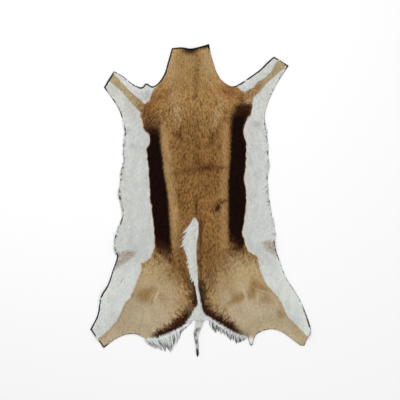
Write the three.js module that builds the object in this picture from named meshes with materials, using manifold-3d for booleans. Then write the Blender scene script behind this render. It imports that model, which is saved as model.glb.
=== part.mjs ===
// A springbok hide laid out flat with its coat up: one tanned skin with its short hair, the long
// white locks of the rump and belly rims, the open fan of long hair on the back, and the tail.
// Millimetres, +Z up. The floor is z = 0, the neck points along +Y and the spine runs near x = 0.
// The tables are for a hide 771 mm wide over the hind feet and 1090 mm from neck cut to tail end.
import * as THREE from "three";
import { mergeVertices } from "three/addons/utils/BufferGeometryUtils.js";
import Module from "manifold-3d";

const wasm = await Module();
wasm.setup();

// Driving dimensions
const RIM_THICKNESS = 2.0; // skin with the hair lying thin at the cut edge
const COAT_THICKNESS = 4.6; // skin with the full coat of the back
const COAT_TAPER = 55; // how far in from the edge the coat reaches its full depth
const COAT_PITCH = 17; // spacing of the coat's surface points
const LIFT_PITCH = 12; // spacing of the underside's points where it leaves the floor
const CURVE_STEP = 11; // spacing of the outline's points
const STRIP_WIDTH = 5; // the narrow strip that holds a row of locks
const STRIP_THICKNESS = 1.6;
const PARTING = 0.35; // gap between a strip and the skin
const REST_BELOW = 0.35; // the skin lies on the floor where its ridges lift it less than this
const PRISM_REACH = 60; // how far the outline's cutter runs past the sheet, up and down

// Materials, from the colours of the coat
const COAT = {
  fawn: { color: 0xa07c4c, roughness: 0.85, metalness: 0 },
  white: { color: 0xd3d6d0, roughness: 0.8, metalness: 0 },
  dark: { color: 0x2c1a12, roughness: 0.8, metalness: 0 },
};

// The cut across the neck, from its left corner to its right one
const NECK_CUT = [
  { x: -100, y: 531 },
  { x: -66, y: 534 },
  { x: -33, y: 530 },
  { x: 4, y: 538 },
  { x: 30, y: 546 },
];

// Left and right edge of the neck, from the cut down to the shoulders
const NECK = [
  { y: 504, left: -113, right: 38 },
  { y: 476, left: -121, right: 47 },
  { y: 448, left: -128, right: 56 },
  { y: 420, left: -141, right: 73 },
  { y: 401, left: -158, right: 100 },
];

// Front and back edge of each foreleg, from the shoulder out to the cut end
const LEFT_FORELEG = [
  { front: [-172, 398], back: [-270, 266] },
  { front: [-190, 408], back: [-276, 290] },
  { front: [-206, 394], back: [-284, 312] },
  { front: [-238, 407], back: [-297, 336] },
  { front: [-271, 433], back: [-316, 364] },
  { front: [-303, 451], back: [-338, 394] },
];
const RIGHT_FORELEG = [
  { front: [118, 398], back: [224, 284] },
  { front: [139, 408], back: [228, 314] },
  { front: [172, 430], back: [240, 350] },
  { front: [208, 456], back: [256, 385] },
  { front: [234, 482], back: [274, 418] },
  { front: [257, 501], back: [308, 470] },
];

// Left and right edge of the barrel and the outer hind legs, from the armpits down to the feet
const BARREL = [
  { y: 236, left: -265, right: 231 },
  { y: 196, left: -270, right: 236 },
  { y: 168, left: -271, right: 236 },
  { y: 140, left: -268, right: 238 },
  { y: 112, left: -274, right: 238 },
  { y: 84, left: -280, right: 233 },
  { y: 56, left: -282, right: 234 },
  { y: 28, left: -286, right: 236 },
  { y: 0, left: -282, right: 240 },
  { y: -35, left: -274, right: 245 },
  { y: -63, left: -275, right: 252 },
  { y: -91, left: -285, right: 258 },
  { y: -119, left: -296, right: 260 },
  { y: -147, left: -302, right: 259 },
  { y: -177, left: -300, right: 265 },
  { y: -198, left: -292, right: 272 },
  { y: -245, left: -307, right: 288 },
  { y: -273, left: -316, right: 300 },
  { y: -301, left: -327, right: 318 },
  { y: -329, left: -345, right: 336 },
  { y: -357, left: -354, right: 352 },
  { y: -385, left: -357, right: 364 },
  { y: -413, left: -365, right: 375 },
];

// The cut ends of the hind legs, each from its outer corner to its inner one
const RIGHT_FOOT = [
  { x: 385, y: -446 },
  { x: 384, y: -466 },
  { x: 370, y: -489 },
  { x: 364, y: -508 },
  { x: 350, y: -509 },
];
const LEFT_FOOT = [
  { x: -386, y: -453 },
  { x: -369, y: -475 },
  { x: -356, y: -493 },
  { x: -339, y: -519 },
];

// The lower edge of each hind leg and of the rump, from the foot in towards the tail
const RIGHT_RUMP = [
  { x: 324, y: -490 },
  { x: 289, y: -464 },
  { x: 268, y: -455 },
  { x: 245, y: -452 },
  { x: 218, y: -458 },
  { x: 194, y: -471 },
];
const SKIN_TAB = [
  { x: 186, y: -487 },
  { x: 183, y: -501 },
  { x: 177, y: -510 },
  { x: 172, y: -500 },
  { x: 168, y: -488 },
  { x: 163, y: -477 },
];
const RIGHT_LOCK_LINE = [
  { x: 152, y: -479 },
  { x: 135, y: -475 },
  { x: 111, y: -466 },
  { x: 93, y: -457 },
  { x: 74, y: -448 },
  { x: 56, y: -437 },
  { x: 44, y: -424 },
];
const TAIL = [
  { y: -418, left: -25, right: 22 },
  { y: -424, left: -17, right: 12 },
  { y: -436, left: -13, right: 6 },
  { y: -450, left: -18, right: 1 },
  { y: -463, left: -24, right: -4 },
  { y: -477, left: -22, right: -10 },
  { y: -492, left: -20, right: -9 },
  { y: -505, left: -17, right: -7 },
  { y: -519, left: -15, right: -6 },
];
const LEFT_HAIR_EDGE = [
  { x: -25, y: -418 },
  { x: -34, y: -431 },
  { x: -50, y: -444 },
];
const LEFT_LOCK_LINE = [
  { x: -68, y: -454 },
  { x: -86, y: -464 },
  { x: -107, y: -475 },
  { x: -124, y: -482 },
  { x: -142, y: -488 },
  { x: -168, y: -492 },
  { x: -189, y: -488 },
];
const LEFT_RUMP = [
  { x: -208, y: -477 },
  { x: -229, y: -469 },
  { x: -261, y: -471 },
  { x: -290, y: -483 },
  { x: -315, y: -499 },
];

// Soft ridges where the skin doesn't lie quite flat. Each runs along its heading, in degrees from
// +X, and lifts the skin by rise at its middle
const RIDGES = [
  { name: "left armpit", x: -282, y: 246, heading: 20, long: 60, wide: 17, rise: 6 },
  { name: "left leg crumple", x: -193, y: 408, heading: -70, long: 34, wide: 14, rise: 7 },
  { name: "left foreleg end", x: -322, y: 424, heading: -55, long: 40, wide: 26, rise: 5 },
  { name: "right foreleg end", x: 284, y: 488, heading: 30, long: 50, wide: 24, rise: 6 },
  { name: "neck cut", x: -34, y: 540, heading: 10, long: 60, wide: 16, rise: 5 },
  { name: "right shoulder", x: 236, y: 262, heading: 170, long: 55, wide: 18, rise: 5 },
  { name: "right flank wave", x: 250, y: 118, heading: 175, long: 48, wide: 22, rise: 4 },
  { name: "left flank wave", x: -296, y: 22, heading: 5, long: 50, wide: 24, rise: 5 },
  { name: "left groin fold", x: -300, y: -182, heading: 18, long: 75, wide: 16, rise: 7 },
  { name: "right groin fold", x: 268, y: -158, heading: 156, long: 70, wide: 16, rise: 7 },
  { name: "left stifle edge", x: -352, y: -330, heading: 35, long: 45, wide: 22, rise: 5 },
  { name: "left hind foot", x: -368, y: -480, heading: 52, long: 40, wide: 20, rise: 6 },
  { name: "right hind foot", x: 380, y: -480, heading: 125, long: 40, wide: 22, rise: 6 },
  { name: "skin tab", x: 178, y: -508, heading: 90, long: 22, wide: 14, rise: 4 },
];

// Shallow hollows in the coat alone, where the hair parts or lies the other way
const PARTINGS = [
  { name: "saddle crease", x: -5, y: 108, heading: 4, long: 78, wide: 12, depth: 0.9 },
  { name: "open back fold", x: -16, y: -215, heading: 89, long: 165, wide: 30, depth: 1.5 },
  { name: "left rump whorl", x: -150, y: -335, heading: 50, long: 40, wide: 13, depth: 0.9 },
  { name: "right rump whorl", x: 155, y: -335, heading: 118, long: 46, wide: 13, depth: 0.9 },
];

// The line along the right of the back fold that the fan of long hair grows from, and the left
// reach of its hair tips, measured from the line's own height
const FAN = [
  { y: -62, root: -12, reach: 4, drop: 10 },
  { y: -84, root: -8, reach: 26, drop: 24 },
  { y: -105, root: -6, reach: 48, drop: 30 },
  { y: -128, root: -10, reach: 56, drop: 34 },
  { y: -160, root: -16, reach: 54, drop: 36 },
  { y: -195, root: -14, reach: 38, drop: 34 },
  { y: -232, root: -12, reach: 26, drop: 30 },
  { y: -262, root: -11, reach: 14, drop: 24 },
  { y: -290, root: -10, reach: 7, drop: 18 },
  { y: -330, root: -7, reach: 4, drop: 14 },
  { y: -372, root: -2, reach: 3, drop: 12 },
];

// How each row of locks grows: how many, how wide and thick, and how uneven in length. The length
// goes evenly from the row's start to its end
const RUMP_LEFT_LOCKS = {
  count: 34,
  long: [40, 62],
  wide: 3.3,
  thick: 2.0,
  uneven: 0.24,
};
const RUMP_RIGHT_LOCKS = {
  count: 34,
  long: [44, 36],
  wide: 3.3,
  thick: 2.0,
  uneven: 0.32,
};
const BELLY_LOCKS = {
  count: 46,
  long: [11, 11],
  wide: 3.2,
  thick: 1.3,
  uneven: 0.5,
};
const FAN_LOCKS = { count: 26, wide: 5.2, thick: 2.2, uneven: 0.14 };
const TUFT_LOCKS = {
  count: 5,
  long: [30, 30],
  wide: 1.9,
  thick: 1.6,
  uneven: 0.3,
};
const LOCK_SIDES = 3;
const ROOT_DEPTH = 2.5; // how far a lock's root reaches back into its strip
const ROW_END_ROOM = 2.2; // free skin cut away past each end of a row of locks
const SURFACE_CLEARANCE = 1.0; // between the coat and the hair that lies over it

// Curves and outlines

// Points at even steps on one smooth curve through the given ones
function smooth(points) {
  const curve = new THREE.SplineCurve(
    points.map((p) => new THREE.Vector2(p.x, p.y)),
  );
  return curve.getSpacedPoints(
    Math.max(2, Math.round(curve.getLength() / CURVE_STEP)),
  );
}

const side = (rows, column) => rows.map((r) => ({ x: r[column], y: r.y }));
const edge = (leg, column) =>
  leg.map((r) => ({ x: r[column][0], y: r[column][1] }));

// The stretches of the outline in order, clockwise from the neck cut's left corner. Corners stay
// sharp between stretches, and each one starts where the last ended
const STRETCHES = {
  neckCut: NECK_CUT,
  rightNeck: [
    NECK_CUT.at(-1),
    ...side(NECK, "right"),
    ...edge(RIGHT_FORELEG, "front"),
  ],
  rightForelegCut: [
    edge(RIGHT_FORELEG, "front").at(-1),
    edge(RIGHT_FORELEG, "back").at(-1),
  ],
  rightSide: [
    ...edge(RIGHT_FORELEG, "back").reverse(),
    ...side(BARREL, "right"),
    RIGHT_FOOT[0],
  ],
  rightFoot: RIGHT_FOOT,
  rightRump: [RIGHT_FOOT.at(-1), ...RIGHT_RUMP],
  skinTab: [RIGHT_RUMP.at(-1), ...SKIN_TAB],
  rightLockLine: [SKIN_TAB.at(-1), ...RIGHT_LOCK_LINE],
  tailRight: [RIGHT_LOCK_LINE.at(-1), ...side(TAIL, "right")],
  tailEnd: [side(TAIL, "right").at(-1), side(TAIL, "left").at(-1)],
  tailLeft: side(TAIL, "left").reverse(),
  leftHairEdge: [...LEFT_HAIR_EDGE, LEFT_LOCK_LINE[0]],
  leftLockLine: LEFT_LOCK_LINE,
  leftRump: [LEFT_LOCK_LINE.at(-1), ...LEFT_RUMP, LEFT_FOOT.at(-1)],
  leftFoot: [...LEFT_FOOT].reverse(),
  leftSide: [
    LEFT_FOOT[0],
    ...side(BARREL, "left").reverse(),
    ...edge(LEFT_FORELEG, "back"),
  ],
  leftForelegCut: [
    edge(LEFT_FORELEG, "back").at(-1),
    edge(LEFT_FORELEG, "front").at(-1),
  ],
  leftNeck: [
    ...edge(LEFT_FORELEG, "front").reverse(),
    ...side(NECK, "left").reverse(),
    NECK_CUT[0],
  ],
};

function outline() {
  const points = [];
  for (const stretch of Object.values(STRETCHES)) {
    for (const p of smooth(stretch)) {
      const last = points.at(-1);
      if (!last || last.distanceTo(p) > 0.5) points.push(p);
    }
  }
  if (points[0].distanceTo(points.at(-1)) < 0.5) points.pop();
  return points;
}

const OUTLINE = outline();

function distanceToOutline(x, y) {
  const at = new THREE.Vector3(x, y, 0);
  const nearest = new THREE.Vector3();
  const stretch = new THREE.Line3();
  let least = Infinity;
  OUTLINE.forEach((p, i) => {
    const q = OUTLINE[(i + 1) % OUTLINE.length];
    stretch.start.set(p.x, p.y, 0);
    stretch.end.set(q.x, q.y, 0);
    stretch.closestPointToPoint(at, true, nearest);
    least = Math.min(least, nearest.distanceTo(at));
  });
  return least;
}

// The hide's two surfaces

// A long soft mound: 1 at its middle, falling away along and across its heading
function mound({ x, y, heading, long, wide }, px, py) {
  const turn = THREE.MathUtils.degToRad(heading);
  const dx = px - x;
  const dy = py - y;
  const along = (dx * Math.cos(turn) + dy * Math.sin(turn)) / long;
  const across = (dy * Math.cos(turn) - dx * Math.sin(turn)) / wide;
  return Math.exp(-along * along - across * across);
}

// How far the ridges lift the skin, below 0 where it lies on the floor
const lift = (x, y) =>
  RIDGES.reduce((sum, r) => sum + r.rise * mound(r, x, y), -REST_BELOW);

const underside = (x, y) => Math.max(0, lift(x, y));

function coatTop(x, y) {
  const inwards = Math.min(1, distanceToOutline(x, y) / COAT_TAPER);
  const fullness = inwards * (2 - inwards);
  const hollows = PARTINGS.reduce((sum, r) => sum + r.depth * mound(r, x, y), 0);
  return (
    underside(x, y) +
    RIM_THICKNESS +
    (COAT_THICKNESS - RIM_THICKNESS) * fullness -
    hollows
  );
}

// Solids

// A closed manifold-3d solid from a three.js geometry
function solidOf(geometry) {
  const bare = geometry.clone();
  bare.deleteAttribute("normal");
  bare.deleteAttribute("uv");
  const merged = mergeVertices(bare, 1e-3);
  return new wasm.Manifold(
    new wasm.Mesh({
      numProp: 3,
      vertProperties: new Float32Array(merged.attributes.position.array),
      triVerts: new Uint32Array(merged.index.array),
    }),
  );
}

function meshOf(name, solid, material) {
  const { numProp, vertProperties, triVerts } = solid.getMesh();
  const geometry = new THREE.BufferGeometry();
  const positions = new Float32Array((vertProperties.length / numProp) * 3);
  for (let i = 0; i < positions.length / 3; i++) {
    positions.set(vertProperties.subarray(i * numProp, i * numProp + 3), i * 3);
  }
  geometry.setAttribute("position", new THREE.BufferAttribute(positions, 3));
  geometry.setIndex(new THREE.BufferAttribute(new Uint32Array(triVerts), 1));
  geometry.computeVertexNormals();
  const mesh = new THREE.Mesh(
    geometry,
    new THREE.MeshStandardMaterial(material),
  );
  mesh.name = name;
  return mesh;
}

// An upright prism over a closed outline, from the given height up
function prism(points, bottom = -PRISM_REACH) {
  const geometry = new THREE.ExtrudeGeometry(new THREE.Shape(points), {
    depth: PRISM_REACH - bottom,
    bevelEnabled: false,
  });
  return solidOf(geometry.translate(0, 0, bottom));
}

// A sheet between two height functions, on an even grid over a rectangle
function sheet(box, pitch, top, bottom) {
  const size = box.getSize(new THREE.Vector2());
  const middle = box.getCenter(new THREE.Vector2());
  const geometry = new THREE.BoxGeometry(
    size.x,
    size.y,
    1,
    Math.ceil(size.x / pitch),
    Math.ceil(size.y / pitch),
    1,
  ).translate(middle.x, middle.y, 0);
  const p = geometry.attributes.position;
  for (let i = 0; i < p.count; i++) {
    const height = p.getZ(i) > 0 ? top : bottom;
    p.setZ(i, height(p.getX(i), p.getY(i)));
  }
  return solidOf(geometry);
}

// The band between two offsets of a curve, to the right of its direction
function band(points, from, to, extra = 0) {
  const last = points.length - 1;
  const at = (i, offset) => {
    const ahead = points[Math.min(i + 1, last)];
    const behind = points[Math.max(i - 1, 0)];
    const way = ahead.clone().sub(behind).normalize();
    const end = i === 0 ? -extra : i === last ? extra : 0;
    return new THREE.Vector2(
      points[i].x + way.y * offset + way.x * end,
      points[i].y - way.x * offset + way.y * end,
    );
  };
  const near = points.map((_, i) => at(i, from));
  const far = points.map((_, i) => at(i, to));
  return [...near, ...far.reverse()];
}

const boxOf = (points) => new THREE.Box2().setFromPoints(points);

// A value between 0 and 1 that looks random and is the same each time
const scatter = (i, salt) => {
  const s = Math.sin(i * 12.9898 + salt * 78.233) * 43758.5453;
  return s - Math.floor(s);
};

// One tapering lock, flat side down, from root to tip over the given floor
function lock(root, tip, { wide, thick }, floor, steps) {
  const geometry = new THREE.ConeGeometry(1, 1, LOCK_SIDES, steps);
  const p = geometry.attributes.position;
  const way = tip.clone().sub(root);
  const across = new THREE.Vector2(way.y, -way.x).normalize();
  for (let i = 0; i < p.count; i++) {
    const along = p.getY(i) + 0.5;
    const taper = 1 - along;
    const fullness = taper > 0 ? taper ** -0.5 : 0;
    const sideways = (p.getX(i) * fullness * wide) / 2;
    const up = ((p.getZ(i) + taper / 2) / 1.5) * fullness * thick;
    const x = root.x + way.x * along + across.x * sideways;
    const y = root.y + way.y * along + across.y * sideways;
    p.setXYZ(i, x, y, floor(x, y) + up);
  }
  return solidOf(geometry);
}

// A strip along a curve with a row of locks fused into it. tipOf gives each lock's tip from its
// root, the outward direction there and its place in the row
function lockRow(points, growth, floor, tipOf, steps) {
  const ring = band(points, 0, STRIP_WIDTH);
  const strip = sheet(
    boxOf(ring),
    LIFT_PITCH,
    (x, y) => floor(x, y) + STRIP_THICKNESS,
    floor,
  ).intersect(prism(ring));
  const curve = new THREE.SplineCurve(points);
  const locks = [];
  for (let i = 0; i < growth.count; i++) {
    const place = (i + 0.5) / growth.count;
    const edgePoint = curve.getPointAt(place);
    const way = curve.getTangentAt(place);
    const out = new THREE.Vector2(-way.y, way.x);
    const root = edgePoint.clone().addScaledVector(out, -ROOT_DEPTH);
    const tip = tipOf({ root: edgePoint, out, way, place, index: i });
    locks.push(lock(root, tip, growth, floor, steps));
  }
  return wasm.Manifold.union([strip, ...locks]);
}

// A tip that leans from the outward direction by a share of the curve's own direction, a share
// that goes evenly from the row's start to its end
const leaning = (growth, lean, salt) => ({ root, out, way, place, index }) => {
  const uneven = 1 - growth.uneven * scatter(index, salt);
  const rowEnd = Math.min(1, 8 * Math.min(place, 1 - place));
  const long = THREE.MathUtils.lerp(...growth.long, place) * uneven;
  return root
    .clone()
    .addScaledVector(out, long * (0.45 + 0.55 * rowEnd))
    .addScaledVector(way, long * THREE.MathUtils.lerp(...lean, place));
};

// The part of a side's curve between two heights
const between = (stretch, top, bottom) =>
  smooth(STRETCHES[stretch]).filter((p) => p.y < top && p.y > bottom);

// Pieces

// The rows of locks that stand along the rims, each lean towards the end of the row's curve
const ROWS = [
  {
    name: "belly_locks_left",
    curve: between("leftSide", 232, -186),
    growth: BELLY_LOCKS,
    lean: [-0.75, -0.75],
    salt: 1,
    coat: COAT.white,
    steps: 1,
  },
  {
    name: "belly_locks_right",
    curve: between("rightSide", 248, -158),
    growth: BELLY_LOCKS,
    lean: [0.75, 0.75],
    salt: 2,
    coat: COAT.white,
    steps: 1,
  },
  {
    name: "rump_locks_left",
    curve: smooth(STRETCHES.leftLockLine),
    growth: RUMP_LEFT_LOCKS,
    lean: [-0.1, -0.75],
    salt: 3,
    coat: COAT.white,
    steps: 2,
  },
  {
    name: "rump_locks_right",
    curve: smooth(STRETCHES.rightLockLine.slice(1)),
    growth: RUMP_RIGHT_LOCKS,
    lean: [0.55, 0.25],
    salt: 4,
    coat: COAT.white,
    steps: 2,
  },
  {
    name: "tail_tuft",
    curve: smooth(STRETCHES.tailEnd),
    growth: TUFT_LOCKS,
    lean: [0, 0],
    salt: 6,
    coat: COAT.dark,
    steps: 2,
  },
];

// The air under one ridge, from below the floor up to the skin
function airUnder(ridge) {
  const turn = THREE.MathUtils.degToRad(ridge.heading);
  const reach = 1.05 * Math.sqrt(Math.log(ridge.rise / REST_BELOW));
  const [c, s] = [Math.cos(turn), Math.sin(turn)];
  const size = new THREE.Vector2(
    2 * reach * Math.hypot(ridge.long * c, ridge.wide * s),
    2 * reach * Math.hypot(ridge.long * s, ridge.wide * c),
  );
  const area = new THREE.Box2().setFromCenterAndSize(
    new THREE.Vector2(ridge.x, ridge.y),
    size,
  );
  return sheet(area, LIFT_PITCH, lift, () => -PRISM_REACH);
}

function hide() {
  let skin = sheet(
    boxOf(OUTLINE).expandByScalar(COAT_PITCH),
    COAT_PITCH,
    coatTop,
    () => -PRISM_REACH,
  ).intersect(prism(OUTLINE, 0));
  for (const ridge of RIDGES) {
    skin = skin.subtract(airUnder(ridge));
  }
  for (const row of ROWS) {
    const room = band(
      row.curve,
      -PRISM_REACH / 4,
      STRIP_WIDTH + PARTING,
      ROW_END_ROOM,
    );
    skin = skin.subtract(prism(room));
  }
  return meshOf("hide", skin, COAT.fawn);
}

function lockRows() {
  return ROWS.map((row) =>
    meshOf(
      row.name,
      lockRow(
        row.curve,
        row.growth,
        underside,
        leaning(row.growth, row.lean, row.salt),
        row.steps,
      ),
      row.coat,
    ),
  );
}

// The fan of long white hair lies over the coat, its locks swept back and to the left
function backFan() {
  const rootLine = smooth(side(FAN, "root")).reverse();
  const over = (x, y) => coatTop(x, y) + SURFACE_CLEARANCE;
  const column = (name, y) => {
    const lower = Math.max(1, FAN.findIndex((r) => r.y <= y));
    const [a, b] = [FAN[lower - 1], FAN[lower]];
    const share = THREE.MathUtils.clamp((a.y - y) / (a.y - b.y), 0, 1);
    return THREE.MathUtils.lerp(a[name], b[name], share);
  };
  const swept = ({ root, index }) => {
    const uneven = 1 - FAN_LOCKS.uneven * scatter(index, 5);
    return new THREE.Vector2(
      root.x - STRIP_WIDTH - column("reach", root.y) * uneven,
      root.y - column("drop", root.y) * uneven,
    );
  };
  return meshOf(
    "back_fan",
    lockRow(rootLine, FAN_LOCKS, over, swept, 1),
    COAT.white,
  );
}

// The origin is the middle of the floor under the hide
function centred(meshes) {
  const group = new THREE.Group();
  group.add(...meshes);
  const middle = new THREE.Box3()
    .setFromObject(group)
    .getCenter(new THREE.Vector3());
  meshes.forEach((mesh) => mesh.geometry.translate(-middle.x, -middle.y, 0));
  return group;
}

const group = centred([hide(), ...lockRows(), backFan()]);
export default group;
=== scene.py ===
"""A springbok hide laid flat with its coat up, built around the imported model.

The file is laid out as an add-on. One operator makes each piece or group of like pieces, one
makes the stage, and main() calls them in order. Lengths are metres in the model's own frame.
"""
from functools import cache

import bpy
import numpy as np
from bpy.props import FloatProperty, FloatVectorProperty, IntProperty, PointerProperty
from mathutils.bvhtree import BVHTree
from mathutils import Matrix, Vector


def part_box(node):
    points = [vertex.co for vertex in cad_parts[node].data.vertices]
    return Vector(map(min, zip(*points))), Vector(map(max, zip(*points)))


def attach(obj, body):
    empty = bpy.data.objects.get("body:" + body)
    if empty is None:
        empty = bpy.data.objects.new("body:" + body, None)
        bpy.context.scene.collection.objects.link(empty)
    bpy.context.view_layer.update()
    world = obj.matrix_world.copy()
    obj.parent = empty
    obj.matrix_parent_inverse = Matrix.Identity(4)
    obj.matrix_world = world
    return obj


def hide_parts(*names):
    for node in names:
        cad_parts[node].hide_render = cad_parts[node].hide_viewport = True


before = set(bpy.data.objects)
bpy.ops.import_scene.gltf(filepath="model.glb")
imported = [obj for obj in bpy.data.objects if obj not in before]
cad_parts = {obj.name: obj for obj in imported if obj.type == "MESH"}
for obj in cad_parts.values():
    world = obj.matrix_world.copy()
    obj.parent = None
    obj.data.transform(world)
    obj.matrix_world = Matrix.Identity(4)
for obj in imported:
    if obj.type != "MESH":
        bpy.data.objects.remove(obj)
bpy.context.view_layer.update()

bl_info = {
    "name": "Springbok hide",
    "version": (1, 0, 0),
    "blender": (4, 5, 0),
    "location": "3D View > Sidebar > Hide",
    "description": "Skin, coat, long locks, back fan and tail of a flat springbok hide",
    "category": "Object",
}

MM = 0.001

# The outline's tables are in millimetres, as in the part's source, +Y towards the neck.
NECK_CUT = [(-100, 531), (-66, 534), (-33, 530), (4, 538), (30, 546)]
NECK_RIGHT = [(38, 504), (47, 476), (56, 448), (73, 420), (100, 401)]
NECK_LEFT = [(-108, 504), (-116, 476), (-124, 448), (-139, 420), (-158, 401)]
RIGHT_FORELEG_FRONT = [
    (118, 398), (139, 408), (172, 430), (208, 456), (234, 482), (257, 501),
]
RIGHT_FORELEG_BACK = [
    (224, 284), (228, 314), (240, 350), (256, 385), (274, 418), (308, 470),
]
LEFT_FORELEG_FRONT = [
    (-172, 398), (-190, 408), (-206, 394), (-238, 407), (-271, 433), (-303, 451),
]
LEFT_FORELEG_BACK = [
    (-270, 266), (-276, 290), (-284, 312), (-297, 336), (-316, 364), (-338, 394),
]
# Height, left edge and right edge of the barrel and the outer hind legs.
BARREL = [
    (236, -265, 231), (196, -270, 236), (168, -271, 236), (140, -268, 238), (112, -274, 238),
    (84, -280, 233), (56, -282, 234), (28, -286, 236), (0, -282, 240), (-35, -274, 245),
    (-63, -275, 252), (-91, -285, 258), (-119, -296, 260), (-147, -302, 259), (-177, -300, 265),
    (-198, -292, 272), (-245, -307, 288), (-273, -316, 300), (-301, -327, 318), (-329, -345, 336),
    (-357, -354, 352), (-385, -357, 364), (-413, -365, 375),
]
RIGHT_FOOT = [(385, -446), (384, -466), (370, -489), (364, -508), (350, -509)]
LEFT_FOOT = [(-386, -453), (-369, -475), (-356, -493), (-339, -519)]
RIGHT_RUMP = [(324, -490), (289, -464), (268, -455), (245, -452), (218, -458), (194, -471)]
SKIN_TAB = [(186, -487), (183, -501), (177, -510), (172, -500), (168, -488), (163, -477)]
RIGHT_LOCK_LINE = [
    (152, -479), (135, -475), (111, -466), (93, -457), (74, -448), (56, -437), (44, -424),
]
# Height, left edge and right edge of the tail.
TAIL = [
    (-418, -25, 22), (-424, -17, 12), (-436, -13, 6), (-450, -18, 1), (-463, -24, -4),
    (-477, -22, -10), (-492, -20, -9), (-505, -17, -7), (-519, -15, -6),
]
TAIL_END = (534, -10.5, 3.6)  # the end of the tail's hair: how far down, middle and half width
LEFT_HAIR_EDGE = [(-25, -418), (-34, -431), (-50, -444)]
LEFT_LOCK_LINE = [
    (-68, -454), (-86, -464), (-107, -475), (-124, -482), (-142, -488), (-168, -492), (-189, -488),
]
LEFT_RUMP = [(-208, -477), (-229, -469), (-261, -471), (-290, -483), (-315, -499)]
TABLE_LEFT, TABLE_TOP = -386, 546  # the outline's own left and top ends

# The coat's markings are in squares of 3.5 mm, counted right and down from the upper left.
SQUARE = 3.5 * MM
SQUARES_LEFT, SQUARES_TOP = 90.2, 44.0  # the outline's left and top ends in squares

# Where the brown of the back meets the white of the flanks, along the outside of the stripes.
LEFT_EDGE = [
    (144.4, 129), (149.8, 135), (150.2, 143), (146.7, 149), (147.5, 157), (149, 169),
    (149.8, 184), (150.2, 199.5), (152.1, 207), (152.5, 215),
]
RIGHT_EDGE = [
    (250.9, 114), (246.7, 119), (243.3, 128), (243.3, 134.5), (245.9, 143), (245.9, 153.6),
    (245.2, 169), (243.6, 176.6), (245.2, 188), (245.9, 199.5), (245.1, 213), (243.1, 225.5),
]
# Where the coat is brown. All the rest of it is white.
BROWN = [
    (160, 40), (161, 82), (153.8, 89.5), (151.2, 95.9), (149.3, 101.7), (146.3, 103.8),
    (142.5, 104.2), (139.8, 107.5), (140.6, 114), (142.4, 121), *LEFT_EDGE, (154.4, 228),
    (155.3, 240), (154.8, 248), (151.2, 257), (146.5, 261.5), (141.5, 263.3),
    (141.5, 271.4), (138.6, 278), (135.9, 284.7), (130.8, 297), (126.0, 302.5), (123.7, 307),
    (121.0, 313), (118.6, 319.4), (110.4, 328.6), (100.2, 337.8), (92, 346), (98, 360), (302, 362),
    (316, 345), (306.3, 335.7), (302.2, 331.6), (294.1, 323.5), (286.9, 316.3), (282.9, 307),
    (281.0, 302), (277.8, 297), (271.6, 290.8), (267.0, 286.0), (264.5, 281.6), (259.4, 269.4),
    (257.8, 262), (257.3, 257), (248.2, 252), (245.1, 245), (243.4, 238), (241.8, 233.0),
    *RIGHT_EDGE[::-1],
    (252.1, 104.6), (251.8, 97), (244, 92.3), (241, 91.0), (238.3, 88.5), (234, 86), (231, 78),
    (228, 40),
]
LEFT_STRIPE = [
    (144, 104), (141, 112), (142.0, 122), *LEFT_EDGE,
    (155.3, 240), (155.5, 254), (162, 257), (171, 256), (170.8, 245), (169.6, 230), (168.5, 215),
    (167.8, 199.5), (165.5, 184), (163.2, 173), (161.7, 157), (159.7, 146), (159.0, 130.6),
    (160, 120), (158, 106),
]
RIGHT_STRIPE = [
    (254, 94), (252.6, 103.5), *RIGHT_EDGE, (241.5, 233.7), (244.4, 243), (241.0, 252), (232, 252),
    (229.3, 241), (229.3, 225), (229.1, 199.5), (228.7, 184), (229.5, 173), (230.6, 161),
    (231, 146), (231.4, 130.6), (232.4, 118), (235.5, 108), (241, 95),
]
LEFT_LEG_STRIP = [
    (113.5, 74), (121.9, 83.2), (129.5, 90.8), (137.2, 97.2), (143.6, 102.6), (147, 107),
    (145, 114), (142.0, 116.0), (139.1, 110.4), (131.9, 103.4), (126.0, 95.6), (118.1, 88.0),
    (109.6, 81.0),
]
RIGHT_LEG_STRIP = [
    (277.5, 60.5), (271.5, 71.9), (264.4, 78.3), (258.1, 82.1), (253.6, 87.2), (244, 92.3),
    (240, 98), (246, 104), (251.7, 103.8), (253.6, 97.4), (258.7, 92.7), (265.6, 84.4),
    (271.4, 78.6), (279.0, 72.2), (286.4, 65.3),
]
# The long white hair of the back, and the white of the tail's root.
FAN_BED = [
    (194.9, 217.4), (196.4, 219.4), (198.1, 222.0), (198.6, 229), (198.1, 235), (197.0, 241),
    (196.2, 246), (196.4, 252.5), (196.9, 262), (197.3, 270), (197.9, 279), (198.1, 286.4),
    (199.0, 292), (200.1, 297), (201.1, 302), (201.3, 305.5), (202.4, 310.2), (204.3, 313.4),
    (206.6, 316.6), (209.6, 317.6), (208.0, 321), (203.0, 324), (202, 328), (194, 328),
    (187.0, 323.8), (185.2, 322.2), (189.1, 317.9), (191.3, 314.3), (193.4, 310.7),
    (195.8, 307.6), (197.3, 305), (197.8, 302), (197.7, 298), (196.7, 292), (195.6, 286.8),
    (194.6, 283.4), (192.9, 279.8), (190.9, 275.4), (189.6, 269.3), (188.8, 264.3),
    (187.4, 259.3), (185.0, 252.5), (183.6, 246), (184.2, 241), (185.4, 235), (188.2, 229.4),
    (190.9, 223.6), (192.6, 219),
]
TAIL_STRAND = [
    (187, 321), (207, 320), (202.6, 327), (200.6, 334), (198.8, 341), (200, 358), (194, 358),
    (193, 341), (192, 334), (195, 327),
]
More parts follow.
